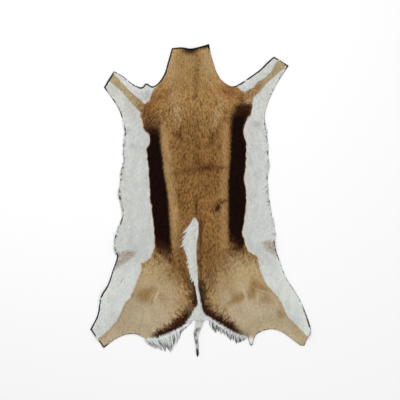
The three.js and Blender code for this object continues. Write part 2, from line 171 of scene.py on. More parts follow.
# The dark rim hair of the rumps, from the back fold out along each lower edge.
LEFT_RUMP_BAND = [
    (196.2, 283), (197.3, 291), (197.8, 300), (195.6, 307), (192, 312), (187.4, 318),
    (181.8, 323.2), (176.4, 328), (171.6, 331.4), (161.4, 335.4), (154.3, 336.9),
]
RIGHT_RUMP_BAND = [
    (198.6, 285), (199.2, 297), (201, 307), (205, 314), (209.5, 317), (215.7, 320), (224, 324.4),
    (234, 331), (240.6, 334), (246, 335.5),
]
# White hair below the dark rims, from where it grows to past the outline.
LEFT_HEM = [
    (144, 338.6), (153, 338.4), (162, 335.6), (170.9, 332.1), (180.9, 327.0), (186, 322.8),
    (189.4, 319.3), (193, 315), (196, 320), (193, 332), (175, 345), (150, 346), (143, 343),
]
RIGHT_HEM = [
    (203, 313), (205.4, 315), (210.1, 316.9), (215.8, 321.4), (221.4, 324.8), (227, 328.2),
    (232.6, 331.9), (238.3, 334.6), (243.9, 335.6), (248, 336.4), (244, 345), (220, 340),
    (203, 326), (198, 318),
]
LEFT_GROIN = [
    (118.6, 252.4), (127.3, 250.4), (136.6, 251.6), (133.1, 256.9), (126.4, 262), (119.4, 266.2),
    (112.5, 270.7),
]
RIGHT_GROIN = [
    (262.0, 242.4), (269.1, 239.8), (276, 242), (279.9, 250.3), (280.5, 257.6), (274.3, 256),
    (269.9, 251.5), (265.7, 248),
]

# The dark cut edge with a painted shadow along it: place in squares, width in mm, and how far hair
# breaks it, 0 to 1.
RIM = [
    (175, 48, 2.0, 0), (185, 49.5, 3.2, 0), (192, 50, 4.4, 0), (200, 48, 3.2, 0),
    (208, 45, 3.2, 0), (171, 55, 3.0, 0), (168, 66, 3.0, 0), (163, 78, 3.0, 0),
    (157, 84, 2.8, 0), (211, 52, 0.3, 0), (214, 66, 0.3, 0), (220, 78, 0.4, 0),
    (228, 86, 0.6, 0.3), (150, 87, 3.0, 0), (145, 84.5, 2.2, 0), (141, 89, 3.4, 0),
    (136, 87, 2.4, 0.1), (130, 84, 2.0, 0.2), (124, 79, 1.6, 0.3), (116, 73, 1.6, 0.3),
    (110, 78, 4.4, 0), (105.5, 87, 3.4, 0), (109, 92, 2.0, 0.4), (116, 103, 2.0, 0.5),
    (120, 113, 2.0, 0.5), (123, 120, 2.4, 0.35), (124, 130, 3.0, 0.2), (123.5, 142, 3.2, 0.28),
    (125, 150, 3.2, 0.28), (123.5, 165, 3.4, 0.28), (121, 180, 3.4, 0.32), (119.5, 192, 4.0, 0.3),
    (121, 205, 3.6, 0.25), (123, 213, 3.4, 0.15), (120, 225, 3.2, 0.28), (116, 238, 3.2, 0.32),
    (114, 248, 3.2, 0.32), (117, 256, 2.4, 0), (114, 267, 2.4, 0), (110, 280, 3.2, 0),
    (104, 290, 3.4, 0), (100, 300, 3.8, 0.1), (99.5, 310, 3.4, 0), (95, 320, 3.2, 0),
    (91, 329, 3.4, 0), (95, 337, 2.2, 0.3), (100, 345, 2.8, 0), (105, 347, 2.4, 0.1),
    (112, 341, 1.6, 0.5), (125, 335, 1.4, 0.5), (135, 334, 1.8, 0.5), (143, 337, 1.2, 0.3),
    (252, 330, 2.2, 0.3), (262, 324, 1.6, 0.4), (275, 327, 0.5, 0.3), (286, 339, 0.5, 0.3),
    (293, 344, 1.2, 0.2), (302, 340, 1.2, 0), (309, 331, 1.0, 0.3), (308, 322, 3.6, 0),
    (305, 313, 2.2, 0.2),
    (300, 300, 1.0, 0.3), (290, 282, 0.7, 0.3), (281, 268, 1.6, 0.3), (277, 256, 1.8, 0.3),
    (274, 240, 2.0, 0.4), (271, 220, 1.6, 0.4), (268, 190, 1.8, 0.4), (268, 170, 1.8, 0.4),
    (268, 150, 2.0, 0.4), (267, 138, 2.6, 0.4), (265, 128, 2.0, 0.4), (264, 115, 1.0, 0.3),
    (267, 100, 0.8, 0.3), (274, 86, 0.8, 0.2), (282, 73, 1.2, 0.2), (287, 66, 2.2, 0),
    (281, 61, 2.0, 0.2), (274, 58, 2.4, 0), (270, 62, 3.4, 0), (262, 70, 3.4, 0),
    (252, 78, 3.2, 0), (242, 84, 3.0, 0.1), (236, 87, 2.4, 0.1), (249, 342, 1.4, 0),
    (252.6, 341, 0.8, 0.2), (188, 321, 0.2, 0), (180, 328, 0.2, 0), (170, 336, 0.2, 0),
    (158, 340, 0.2, 0), (149, 339, 0.4, 0), (212, 318, 0.2, 0), (222, 323, 0.2, 0),
    (234, 333, 0.2, 0), (242, 336, 0.2, 0), (202, 324, 0.4, 0), (193, 330, 1.6, 0.3),
    (200, 333, 1.6, 0.3), (195, 345, 1.2, 0.3), (199, 345, 1.2, 0.3),
]

# Colour down the middle of the back: height in squares, then red, green and blue.
SPINE_COLOURS = [
    (44, (0.46, 0.290, 0.115)), (75, (0.425, 0.252, 0.094)), (100, (0.395, 0.221, 0.074)),
    (120, (0.313, 0.162, 0.052)), (145, (0.266, 0.128, 0.038)), (175, (0.254, 0.121, 0.035)),
    (215, (0.266, 0.130, 0.038)), (250, (0.254, 0.125, 0.036)), (285, (0.283, 0.157, 0.049)),
    (320, (0.307, 0.178, 0.056)),
]

# Single patches of another colour: place, reach along and across in squares, heading in degrees
# clockwise from the right, strength, and the colour's name.
PATCHES = [
    (152, 102, 12, 6, 110, 0.75, "russet"), (144, 108, 6, 5, 60, 0.75, "russet"),
    (162, 96, 9, 5, 130, 0.5, "russet"), (149, 117, 9, 6, 80, 0.55, "russet"),
    (229, 92, 10, 7, 30, 0.75, "russet"), (244, 96, 8, 5, 45, 0.75, "russet"),
    (172, 70, 16, 6, 100, 0.55, "neck_pale"), (208, 66, 16, 6, 80, 0.45, "neck_pale"),
    (196, 78, 26, 3.5, 92, 0.4, "saddle_dark"), (176, 106, 16, 6, 82, 0.45, "neck_pale"),
    (217, 114, 14, 5, 108, 0.4, "neck_pale"),
    (190.5, 50.6, 8, 3.2, 0, 1.0, "umber"), (188, 53.5, 10, 3.4, 6, 0.45, "chestnut"),
    (205, 47.5, 6, 1.8, -16, 0.9, "umber"), (198, 170, 26, 3.0, -5, 0.8, "saddle_dark"),
    (206, 166, 14, 5, 4, 0.6, "saddle_dark"), (188, 128, 13, 6, 150, 0.3, "saddle_dark"),
    (196, 146, 24, 4, 90, 0.3, "saddle_dark"), (179, 136, 7, 3.5, 60, 0.6, "saddle_dark"),
    (213, 137, 10, 4, 110, 0.55, "saddle_dark"), (217.5, 206, 8, 4, 125, 0.6, "saddle_dark"),
    (217.6, 208.2, 3.8, 2.7, 110, 1.0, "umber"), (223.2, 201.6, 4, 1.7, 140, 0.75, "umber"),
    (193, 114, 2.4, 0.8, 80, 0.6, "umber"), (198, 121.5, 2.6, 0.7, 80, 0.7, "umber"),
    (177, 120, 3.5, 1.0, 70, 0.45, "umber"), (181, 138, 2.6, 1.1, 45, 0.6, "umber"),
    (172.5, 133, 2.4, 0.9, 60, 0.5, "umber"), (212.5, 136, 2.6, 0.9, 110, 0.5, "umber"),
    (195, 130, 2.0, 0.7, 85, 0.5, "umber"), (220, 146, 3.0, 0.9, 115, 0.4, "umber"),
    (222, 168, 4, 1.2, 0, 0.5, "umber"), (206, 168, 5, 1.0, 4, 0.4, "umber"),
    (184, 160, 9, 4, 100, 0.3, "saddle_dark"), (207, 185, 12, 4, 95, 0.25, "saddle_dark"),
    (180, 200, 14, 4, 80, 0.25, "saddle_dark"), (196.3, 207, 11, 1.6, 91, 0.8, "chestnut"),
    (200.6, 235, 22, 2.0, 91, 0.8, "chestnut"), (200.5, 268, 20, 1.8, 89, 0.6, "chestnut"),
    (209, 262, 26, 6, 84, 0.4, "saddle_dark"),
    (224, 262, 14, 7, 60, 0.2, "saddle_dark"), (180, 252, 12, 5, 80, 0.45, "saddle_dark"),
    (186, 276, 14, 5, 62, 0.7, "saddle_dark"), (173, 263, 7, 3.5, 60, 0.55, "saddle_dark"),
    (178, 236, 8, 4, 100, 0.3, "saddle_dark"), (163, 252, 6.5, 3.2, 0, 0.6, "umber"),
    (167, 257, 6, 4, 45, 0.6, "chestnut"), (236, 248.5, 7, 3.2, 0, 0.5, "umber"),
    (234, 253, 7, 4, 20, 0.3, "chestnut"), (144.5, 296, 10.5, 7, 15, 0.92, "rump_tan"),
    (150, 290, 8, 3.5, 165, 0.85, "rump_tan"), (153.5, 300.5, 5, 2, 120, 0.85, "rump_tan"),
    (160.5, 296, 4.5, 2.2, 80, 0.55, "rump_olive"), (156.6, 296, 8, 1.2, 115, 0.8, "rump_cream"),
    (238, 298, 9.5, 5, 155, 0.95, "rump_tan"), (254, 285, 8, 5, 100, 1.0, "rump_tan"),
    (262, 288.5, 9, 4.2, 38, 0.95, "rump_tan"), (251.5, 294, 6, 4.5, 80, 0.9, "rump_tan"),
    (265.5, 299.5, 6.5, 4.2, 0, 0.65, "rump_tan"), (227, 305, 8, 2.5, 150, 0.5, "rump_tan"),
    (244.5, 293, 9, 1.2, 75, 0.8, "rump_cream"),
    (257.8, 299, 6, 1.2, 95, 0.7, "rump_cream"), (264, 291.5, 8, 1.0, 20, 0.6, "rump_cream"),
    (281, 314, 5, 4, 60, 0.7, "rump_tan"), (143, 316, 12, 8, 160, 0.5, "rump_cream"),
    (256, 311, 13, 8, 20, 0.5, "rump_cream"), (165, 300, 12, 6, 70, 0.35, "rump_tan"),
    (228, 285, 18, 6, 60, 0.4, "rump_tan"), (212, 300, 10, 5, 60, 0.4, "rump_tan"),
    (106, 332, 15, 9, 140, 0.9, "rump_cream"), (292, 331, 14, 8, 45, 0.4, "rump_cream"),
    (104, 337, 7, 4, 140, 0.3, "foot_gold"), (297, 333, 8, 4, 45, 0.4, "foot_gold"),
    (250.6, 341.5, 5.0, 2.4, 90, 0.9, "fringe"), (251.0, 346.6, 3.0, 2.2, 90, 1.0, "dark_hair_and_painted_shade"),
    (248.1, 340.4, 4.0, 0.9, 75, 1.0, "dark_hair_and_painted_shade"),
]
# The same for the white; the patches named shade are painted shade in hollows and creases
WHITE_PATCHES = [
    (127, 131, 3, 4, 70, 0.45, "shade"), (258, 124, 4, 6, 100, 0.35, "shade"),
    (136, 147, 9, 3, 10, 0.2, "shade"), (121.3, 281.6, 1.3, 0.4, -65, 0.8, "dark_hair_and_painted_shade"),
    (123.2, 279.0, 1.1, 0.35, -65, 0.7, "dark_hair_and_painted_shade"), (116, 175, 50, 7, 90, 0.12, "shade"),
    (147, 95, 5, 4, 90, 0.3, "shade"), (112, 92, 12, 3, 60, 0.25, "rump_cream"),
    (130, 108, 12, 3, 60, 0.25, "rump_cream"), (268, 98, 16, 4, 110, 0.2, "rump_cream"),
]

# How the hair lies: place in squares, heading in degrees with -90 towards the tail, length in mm.
FLOW = [
    (190, 52, -90, 10), (172, 70, -97, 10), (209, 68, -83, 10), (190, 95, -90, 12),
    (160, 100, -112, 12), (232, 98, -68, 12), (195, 135, -90, 13), (172, 140, -104, 13),
    (220, 140, -76, 13), (196, 185, -90, 13), (174, 195, -106, 14), (220, 195, -74, 14),
    (153, 150, -97, 13), (238, 150, -83, 13), (158, 215, -95, 14), (237, 215, -85, 14),
    (176, 235, -110, 15), (215, 238, -72, 15), (136, 160, -98, 17), (256, 160, -82, 17),
    (122, 165, -118, 17), (268, 165, -62, 17), (138, 215, -100, 18), (258, 215, -80, 18),
    (118, 225, -122, 18), (271, 225, -58, 18), (128, 125, -104, 14), (262, 120, -76, 14),
    (112, 84, 136, 6), (128, 98, 140, 8), (134, 92, 128, 8), (145, 94, 100, 9), (279, 68, 42, 6),
    (262, 84, 40, 8), (254, 82, 52, 8), (240, 90, 80, 9), (170, 262, -92, 14), (185, 275, -62, 15),
    (190, 300, -38, 15), (178, 318, -52, 17), (160, 328, -66, 17), (150, 270, -98, 12),
    (155, 300, -78, 11), (136, 305, -112, 9), (135, 325, -100, 8), (112, 326, -138, 6),
    (112, 300, -112, 11), (130, 270, -106, 14), (100, 325, -122, 8), (222, 262, -88, 14),
    (210, 278, -108, 15), (206, 300, -132, 15), (215, 314, -122, 17), (236, 326, -108, 17),
    (246, 270, -80, 12), (242, 300, -98, 11), (262, 305, -72, 9), (262, 324, -78, 8),
    (290, 324, -46, 6), (288, 300, -66, 11), (266, 268, -72, 14), (302, 325, -56, 8),
    (126, 257, -150, 10), (271, 248, -30, 10), (197, 322, -92, 14), (197, 345, -88, 14),
]

# Long hair, from its root to its tip in squares, in order along its row.
LEFT_RUMP_LOCKS = [
    ((146.5, 339.0), (155, 349.4)), ((151, 339.0), (159, 350.8)), ((156, 338.0), (163.5, 352.0)),
    ((161, 336.7), (167.5, 352.5)), ((166, 335.0), (171.5, 351.6)), ((170.5, 333.2), (174, 349.0)),
    ((174.5, 331.2), (177.4, 343.6)), ((178, 329.4), (179.2, 338.0)), ((181, 327.8), (181.2, 333)),
    ((185.5, 324.0), (185.4, 329)), ((190, 319.6), (190.5, 324.5)),
]
RIGHT_RUMP_LOCKS = [
    ((210.5, 318.8), (212.8, 328.0)), ((213.5, 320.4), (214.6, 332.6)),
    ((217, 322.4), (217.4, 332.8)), ((221.0, 324.8), (220.6, 334.0)),
    ((225, 327.2), (224.2, 336.6)), ((229, 329.8), (228.4, 338.4)),
    ((233, 332.2), (231.6, 341.0)), ((237, 334.2), (235.6, 344.0)),
    ((241, 335.4), (239.6, 344.4)), ((245.5, 336.2), (243.6, 341.0)),
]
FAN_LOCKS = [
    ((195.0, 218.2), (192.2, 223)), ((196.6, 219.5), (187.5, 228.4)),
    ((198.0, 224), (182.4, 233.4)), ((198.4, 229), (181.6, 238.6)),
    ((198.0, 235), (181.2, 245.4)), ((197.0, 241), (180.4, 250.6)),
    ((196.4, 248), (183.0, 257.0)), ((196.6, 254), (185.4, 263.2)),
    ((196.9, 260), (187.6, 270.4)), ((197.2, 267), (189.0, 277.4)),
    ((197.4, 274), (192.4, 283.6)), ((197.8, 282), (195.8, 290.0)),
    ((198.6, 290), (197.6, 299.0)), ((200.0, 298), (198.8, 306.0)),
    ((201.0, 304), (199.6, 313.0)),
]

UNDERFUR = 1.4 * MM  # the skin alone, under the coat
RIM_FREE = 2.6 * MM  # how far the coat's roots keep from the cut edge
SKIN_PITCH = 4.0 * MM
HEIGHT_PITCH = 4.0 * MM
OUTLINE_STEP = 7  # mm between points of the outline's curves
SPLINE_PARTS = 8  # straight parts between two given points of a curve
SHARP_TURN = np.radians(30)
LOWEST_HAIR, HIGHEST_HAIR = 0.1 * MM, 17.5 * MM
LOCK_HAIR_WIDTH = 0.75 * MM
FAN_HAIR_HALF, TAIL_HAIR_HALF = 0.55 * MM, 0.5 * MM  # half widths
TAIL_ROOTS = (-526, -418)  # mm between which the tail's hairs grow
BRIGHTEST = 0.92  # no hair is lighter than this
STEEPEST_ROLL = 0.7  # radians that a tuft may turn about its own line
# Places that the colours turn on, in squares from the left or from the top
MIDDLE, SPINE = 198, 199  # the line between the rumps, and the one between the stripes
NECK_END, SADDLE_END, LOINS_END = 118, 185, 252  # where one piece of the coat ends
CREAM_FROM, CREAM_TO = 112, 256  # the cream line along the stripes
HIND_TOP = 258
JOINTS, SHINS = (142.5, 245), (135, 262)  # where the leg strips turn tan and paler, left and right
RUMP_BAND_REACH = 13.5  # squares that the rumps' dark rim hair reaches in
PATCH_FALLOFF = 1.6  # how sharply a patch of colour ends
STREAK_TURN = 0.35  # radians between two headings that share one field of streaks
FLOOR_LEVEL = -0.3 * MM
CAMERA_HEIGHT = 4.0
SENSOR = 36  # mm
VIEW_MIDDLE, VIEW_SQUARES = (200, 200), 400  # middle and width of the camera's view in squares
BAKE_MAP = "OFBake"
COLOUR_LAYER = "Coat"


class HideSizes(bpy.types.PropertyGroup):
    """Sizes and counts of the hide's skin and hair."""

    def length(title, about, value):
        return FloatProperty(
            name=title, description=about, default=value, subtype="DISTANCE", unit="LENGTH"
        )

    def count(title, about, value):
        return IntProperty(name=title, description=about, default=value, min=1)

    skin: length("Skin", "Thickness of the tanned skin without its hair", UNDERFUR)
    coat_width: length("Tuft width", "Width of one tuft of the coat", 1.2 * MM)
    coat_hairs: count("Coat tufts", "Small tufts over the whole coat", 226000)
    long_locks: count("Rump locks", "Locks of long hair under each side of the rump", 27)
    lock_hairs: count("Hairs to a lock", "Hairs in one long lock", 56)
    fan_hairs: count("Fan hairs", "Hairs in the fan on the back", 5200)
    rim_tufts: count("Rim tufts", "Tufts along each belly edge", 76)
    rim_hairs: count("Hairs to a rim tuft", "Hairs in one tuft of the belly edge", 11)
    tail_hairs: count("Tail hairs", "Hairs along the tail strip", 2600)


class CoatColours(bpy.types.PropertyGroup):
    """Colours of the coat, the skin and the stage."""

    def named(title, value):
        return FloatVectorProperty(
            name=title,
            description=f"Colour of the {title.lower()}",
            subtype="COLOR",
            default=value,
            min=0,
            max=1,
        )

    white: named("White flanks", (0.75, 0.765, 0.735))
    cream: named("Cream line beside the stripes", (0.80, 0.64, 0.48))
    chocolate: named("Dark stripes", (0.0085, 0.002, 0.0009))
    chestnut: named("Chestnut hair", (0.055, 0.018, 0.007))
    umber: named("Darkest rim hair", (0.032, 0.0095, 0.0035))
    russet: named("Russet shoulder", (0.27, 0.108, 0.033))
    neck_pale: named("Pale neck", (0.50, 0.355, 0.195))
    saddle_dark: named("Dark saddle hair", (0.115, 0.046, 0.013))
    inner_band: named("Pale band inside the stripes", (0.5, 0.32, 0.135))
    rump: named("Pale rump", (0.56, 0.455, 0.295))
    rump_tan: named("Tan rump patches", (0.40, 0.245, 0.10))
    rump_olive: named("Olive rump hair", (0.33, 0.24, 0.115))
    rump_cream: named("Cream rump hair", (0.66, 0.545, 0.385))
    leg_tan: named("Tan leg strips", (0.52, 0.42, 0.23))
    foot_gold: named("Golden feet", (0.50, 0.37, 0.17))
    groin: named("Bare groin", (0.49, 0.43, 0.335))
    shade: named("Painted shade on the white", (0.32, 0.33, 0.32))
    fan: named("Fan hair", (0.70, 0.71, 0.675))
    fringe: named("Rump fringe", (0.82, 0.84, 0.82))
    joint_tan: named("Tan leg joints", (0.42, 0.25, 0.105))
    rump_straw: named("Straw upper rump", (0.56, 0.42, 0.225))
    # Grey-blue: partly the fan's grey streak, partly painted shade between its locks
    fan_grey_and_painted_shade: named("Grey fan hair and painted shade", (0.36, 0.40, 0.42))
    # Near black: the tail's dark hair and small marks, and painted shade among the locks and belly
    # tufts
    dark_hair_and_painted_shade: named("Dark hair and painted shade among the locks", (0.03, 0.028, 0.026))
    leather: named("Skin side", (0.52, 0.42, 0.30))
    # Near black: the cut edge, and a painted shadow along the outline
    cut_edge_and_painted_shadow: named("Cut edge and painted shadow", (0.010, 0.0075, 0.006))
    floor: named("Floor", (0.9, 0.9, 0.9))


# Places


def outline_points(table):
    """Points of the outline's millimetre tables, as metres in the model's frame."""
    low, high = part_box("hide")
    shift = np.array([low[0] - TABLE_LEFT * MM, high[1] - TABLE_TOP * MM])
    return np.array(table, float) * MM + shift


def squares(table):
    """Points of the markings' squares, as metres in the model's frame."""
    low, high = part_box("hide")
    points = np.array(table, float) - (SQUARES_LEFT, SQUARES_TOP)
    return points * (SQUARE, -SQUARE) + (low[0], high[1])


def to_squares(points):
    """Points in the model's frame, counted in the markings' squares."""
    low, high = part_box("hide")
    counted = (points - (low[0], high[1])) / (SQUARE, -SQUARE)
    return counted + (SQUARES_LEFT, SQUARES_TOP)


def spline(points, step):
    """Points at about even steps on the smooth curve through the given ones."""
    p = np.array(points, float)
    p = np.vstack([p[:1], p, p[-1:]])
    found = []
    for a, b, c, d in zip(p, p[1:], p[2:], p[3:]):
        t = np.linspace(0, 1, SPLINE_PARTS + 1)[:-1, None]
        v0, v1 = (c - a) / 2, (d - b) / 2
        found.append(
            (2 * b - 2 * c + v0 + v1) * t**3
            + (3 * c - 3 * b - 2 * v0 - v1) * t**2
            + v0 * t
            + b
        )
    dense = np.vstack(found + [p[-1:]])
    gone = np.r_[0, np.cumsum(np.linalg.norm(np.diff(dense, axis=0), axis=1))]
    count = max(2, int(round(gone[-1] / step)))
    at = np.linspace(0, gone[-1], count + 1)
    return np.stack([np.interp(at, gone, dense[:, k]) for k in (0, 1)], 1)


def two_edges(rows):
    """The left and the right edge of a table of height, left edge and right edge."""
    return [(a, y) for y, a, _ in rows], [(b, y) for y, _, b in rows]


def hide_outline():
    """The hide's whole outline, clockwise from the neck cut."""
    left, right = two_edges(BARREL)
    tail_left, tail_right = two_edges(TAIL)
    stretches = [
        NECK_CUT,
        [NECK_CUT[-1], *NECK_RIGHT, *RIGHT_FORELEG_FRONT],
        [RIGHT_FORELEG_FRONT[-1], RIGHT_FORELEG_BACK[-1]],
        [*RIGHT_FORELEG_BACK[::-1], *right, RIGHT_FOOT[0]],
        RIGHT_FOOT,
        [RIGHT_FOOT[-1], *RIGHT_RUMP],
        [RIGHT_RUMP[-1], *SKIN_TAB],
        [SKIN_TAB[-1], *RIGHT_LOCK_LINE],
        [RIGHT_LOCK_LINE[-1], *tail_right],
        [tail_right[-1], tail_left[-1]],
        tail_left[::-1],
        [*LEFT_HAIR_EDGE, LEFT_LOCK_LINE[0]],
        LEFT_LOCK_LINE,
        [LEFT_LOCK_LINE[-1], *LEFT_RUMP, LEFT_FOOT[-1]],
        LEFT_FOOT[::-1],
        [LEFT_FOOT[0], *left[::-1], *LEFT_FORELEG_BACK],
        [LEFT_FORELEG_BACK[-1], LEFT_FORELEG_FRONT[-1]],
        [*LEFT_FORELEG_FRONT[::-1], *NECK_LEFT[::-1], NECK_CUT[0]],
    ]
    return outline_points(np.vstack([spline(s, OUTLINE_STEP)[:-1] for s in stretches]))


def ring_area(ring):
    x, y = ring.T
    return abs(np.sum(x * np.roll(y, -1) - y * np.roll(x, -1))) / 2


def sharp_corners(ring):
    """The ring's points where it turns sharply."""
    back, ahead = ring - np.roll(ring, 1, 0), np.roll(ring, -1, 0) - ring
    cross = back[:, 0] * ahead[:, 1] - back[:, 1] * ahead[:, 0]
    return ring[np.abs(np.arctan2(cross, (back * ahead).sum(1))) > SHARP_TURN]


def nearest_on(points, ring):
    """For each point, the nearest point of a closed ring and its distance."""
    points = np.asarray(points, np.float64)
    best = np.full(len(points), np.inf)
    place = np.zeros_like(points)
    for a, b in zip(ring, np.roll(ring, -1, 0)):
        way = b - a
        share = np.clip((points - a) @ way / max(way @ way, 1e-18), 0, 1)
        spot = a + share[:, None] * way
        gap = ((points - spot) ** 2).sum(1)
        nearer = gap < best
        best[nearer] = gap[nearer]
        place[nearer] = spot[nearer]
    return place, np.sqrt(best)


def is_inside(points, ring):
    x, y = points.T
    inside = np.zeros(len(points), bool)
    for (ax, ay), (bx, by) in zip(ring, np.roll(ring, -1, 0)):
        if ay != by:
            inside ^= ((ay > y) != (by > y)) & (x < (bx - ax) * (y - ay) / (by - ay) + ax)
    return inside


def depth(points, ring):
    """How deep each point lies inside a closed ring, below 0 outside it."""
    ring = np.array(ring, float)
    return np.where(is_inside(points, ring), 1, -1) * nearest_on(points, ring)[1]


def across(way):
    """Each direction, turned a quarter to its left."""
    return np.stack([-way[..., 1], way[..., 0]], -1)


# Soft steps and noise


def step_up(value, low, high):
    """0 below low, 1 above high and smooth between."""
    t = np.clip((value - low) / (high - low), 0, 1)
    return t * t * (3 - 2 * t)


def bell(value, centre, width):
    """1 at the centre, and next to nothing at twice the width from it."""
    return np.exp(-(((value - centre) / width) ** 2))


def covered(points, rings, low, high):
    """Soft share of each point that lies in one of the rings."""
    return step_up(np.maximum.reduce([depth(points, ring) for ring in rings]), low, high)


def soft_noise(points, cell, seed):
    """Smooth values between -1 and 1 that change over about one cell. seed picks the pattern."""
    lattice = np.random.default_rng(seed).uniform(-1, 1, (256, 256))
    at = points / cell
    low = np.floor(at).astype(int)
    fx, fy = step_up(at - low, 0, 1).T
    x, y = (low % 256).T
    right, up = (x + 1) % 256, (y + 1) % 256
    near = lattice[x, y] * (1 - fx) + lattice[right, y] * fx
    far = lattice[x, up] * (1 - fx) + lattice[right, up] * fx
    return near * (1 - fy) + far * fy


def chunked(function, points, size=20000):
    """function over many points in parts, so that its tables stay small."""
    parts = [function(points[i : i + size]) for i in range(0, len(points), size)]
    if isinstance(parts[0], tuple):
        return tuple(np.concatenate(part) for part in zip(*parts))
    return np.concatenate(parts)


def near_weights(p, table, softness):
    """How much each row of a table of places counts at each point."""
    gap = ((p[:, None, :] - table[None, :, :2]) ** 2).sum(2)
    return 1 / (gap + softness) ** 2


# The CAD hide's heights


class Heights:
    """Heights of the CAD hide and distances to its rim, on an even grid past its edge."""

    margin = 0.07  # how far past the hide's box the grid goes
    rounds = 16  # cells that the heights are carried on past the rim

    def __init__(self):
        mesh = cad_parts["hide"].data
        mesh.calc_loop_triangles()
        faces = [tuple(t.vertices) for t in mesh.loop_triangles]
        tree = BVHTree.FromPolygons([v.co for v in mesh.vertices], faces)
        low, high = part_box("hide")
        self.low = np.array([low[0] - self.margin, low[1] - self.margin])
        span = np.array([high[0] + self.margin, high[1] + self.margin]) - self.low
        self.count = np.ceil(span / HEIGHT_PITCH).astype(int) + 1
        under = np.full(self.count, np.nan)
        over = np.full(self.count, np.nan)
        for i in range(self.count[0]):
            x = self.low[0] + i * HEIGHT_PITCH
            for j in range(self.count[1]):
                y = self.low[1] + j * HEIGHT_PITCH
                hit = tree.ray_cast((x, y, -0.1), (0, 0, 1))[0]
                if hit is not None:
                    under[i, j] = hit.z
                    over[i, j] = tree.ray_cast((x, y, 0.1), (0, 0, -1))[0].z
        self.under = self.carried_on(under)
        self.over = self.carried_on(over)
        steps = [self.low[k] + HEIGHT_PITCH * np.arange(self.count[k]) for k in (0, 1)]
        nodes = np.stack(np.meshgrid(*steps, indexing="ij"), 2).reshape(-1, 2)
        self.within = depth(nodes, hide_outline()).reshape(self.count)

    def carried_on(self, field):
        """The field with its unknown cells filled from the known ones beside them."""
        for _ in range(self.rounds):
            around = np.full((4, *field.shape), np.nan)
            around[0, 1:] = field[:-1]
            around[1, :-1] = field[1:]
            around[2, :, 1:] = field[:, :-1]
            around[3, :, :-1] = field[:, 1:]
            known = (~np.isnan(around)).sum(0)
            mean = np.nansum(around, 0) / np.maximum(known, 1)
            new = np.isnan(field) & (known > 0)
            field[new] = mean[new]
        return np.nan_to_num(field)

    def read(self, field, points):
        at = np.clip((points - self.low) / HEIGHT_PITCH, 0, self.count - 1.001)
        i, j = np.moveaxis(np.floor(at).astype(int), -1, 0)
        fx, fy = np.moveaxis(at - np.floor(at), -1, 0)
        near = field[i, j] * (1 - fx) + field[i + 1, j] * fx
        far = field[i, j + 1] * (1 - fx) + field[i + 1, j + 1] * fx
        return near * (1 - fy) + far * fy

    def floor(self, points):
        return self.read(self.under, points)

    def rim(self, points):
        """How far inside the rim each point lies."""
        return self.read(self.within, points)

    def coat(self, points):
        """Depth of the coat above the bare skin."""
        full = self.read(self.over, points) - self.read(self.under, points)
        return np.maximum(full - UNDERFUR, 0.5 * MM)


@cache
def hide_heights():
    return Heights()


# Colours


def blend(colour, other, share):
    """A colour, or one for each point, with a share of another mixed in."""
    share = np.clip(share, 0, 1)[:, None]
    return np.asarray(colour) * (1 - share) + np.asarray(other) * share


def patched(colour, p, patches, named):
    """A colour with the table's soft patches laid over it."""
    for x, y, long, wide, heading, strength, name in patches:
        turn = np.radians(heading)
        dx, dy = p[:, 0] - x, p[:, 1] - y
        u = (dx * np.cos(turn) + dy * np.sin(turn)) / long
        v = (dy * np.cos(turn) - dx * np.sin(turn)) / wide
        fade = np.exp(-((u * u + v * v) ** PATCH_FALLOFF))
        colour = blend(colour, named[name], strength * fade)
    return colour


def inner_bands(x, y):
    """Shares of the pale bands just inside the left and the right stripe."""
    left = np.interp(y, [130, 173, 215, 245], [164.5, 168.5, 174, 176.5])
    right = np.interp(y, [120, 161, 199, 241], [226, 225, 223, 223.5])
    along = step_up(y, 112, 140) * (1 - step_up(y, 236, 262))
    return along * bell(x, left, 4.6), along * bell(x, right, 3.6)


def back_colours(x, y, named):
    """The brown down the back with the pale bands, and the rumps, paler away from the fold."""
    heights, shades = zip(*SPINE_COLOURS)
    spine = np.stack([np.interp(y, heights, shade) for shade in zip(*shades)], 1)
    left_band, right_band = inner_bands(x, y)
    brown = blend(spine, named["inner_band"], 0.8 * left_band + 0.52 * right_band)
    fold = np.interp(y, [240, 300], [198, 199])
    away = np.abs(x - fold)
    on_left = x < fold
    left_begins = np.interp(y, [255, 275, 293], [22, 17, 8])
    left_spans = np.interp(y, [255, 275, 293], [34, 33, 28])
    begins = np.where(on_left, left_begins, np.interp(y, [255, 290], [13, 5]))
    spans = np.where(on_left, left_spans, np.interp(y, [255, 290], [40, 28]))
    rump = step_up(y - 0.1 * away, 242, 268) * step_up(away, begins, begins + spans)
    brown = blend(brown, named["rump_straw"], rump)
    brown = blend(brown, named["rump"], rump * step_up(y, 272, 304) * 0.97)
    return blend(brown, named["inner_band"], 0.35 * (step_up(y, 270, 300) * bell(away, 17, 9.0)))


def rump_rims(brown, p, named):
    """The rumps' brown with the dark spiky hair along both lower edges."""
    x, y = p.T
    for line, narrows, deepens in (
        (LEFT_RUMP_BAND, (150, 184), (264, 280, 291)),
        (RIGHT_RUMP_BAND, (246, 212), (273, 290, 301)),
    ):
        path = spline(line, 2.0)
        gap = nearest_on(p, np.vstack([path, path[::-1]]))[1]
        spikes = 1 + 0.55 * soft_noise(p, 1.0, 21) + 0.2 * soft_noise(p, 3.6, 22)
        inward = (x - narrows[0]) / (narrows[1] - narrows[0])
        edge = gap / (RUMP_BAND_REACH * np.interp(inward, [0, 1], [0.65, 1]) * spikes)
        ends = np.interp(x, [150, 159, 232, 245], [0.1, 1, 1, 0.2])
        fades = np.interp(y, deepens, [0.2, 0.75, 1.0]) * ends
        for name, low, high, strength in (
            ("rump_tan", 0.6, 1.3, 0.6),
            ("chestnut", 0.38, 0.9, 1),
            ("umber", 0.2, 0.5, 1),
        ):
            brown = blend(brown, named[name], (1 - step_up(edge, low, high)) * fades * strength)
    return brown


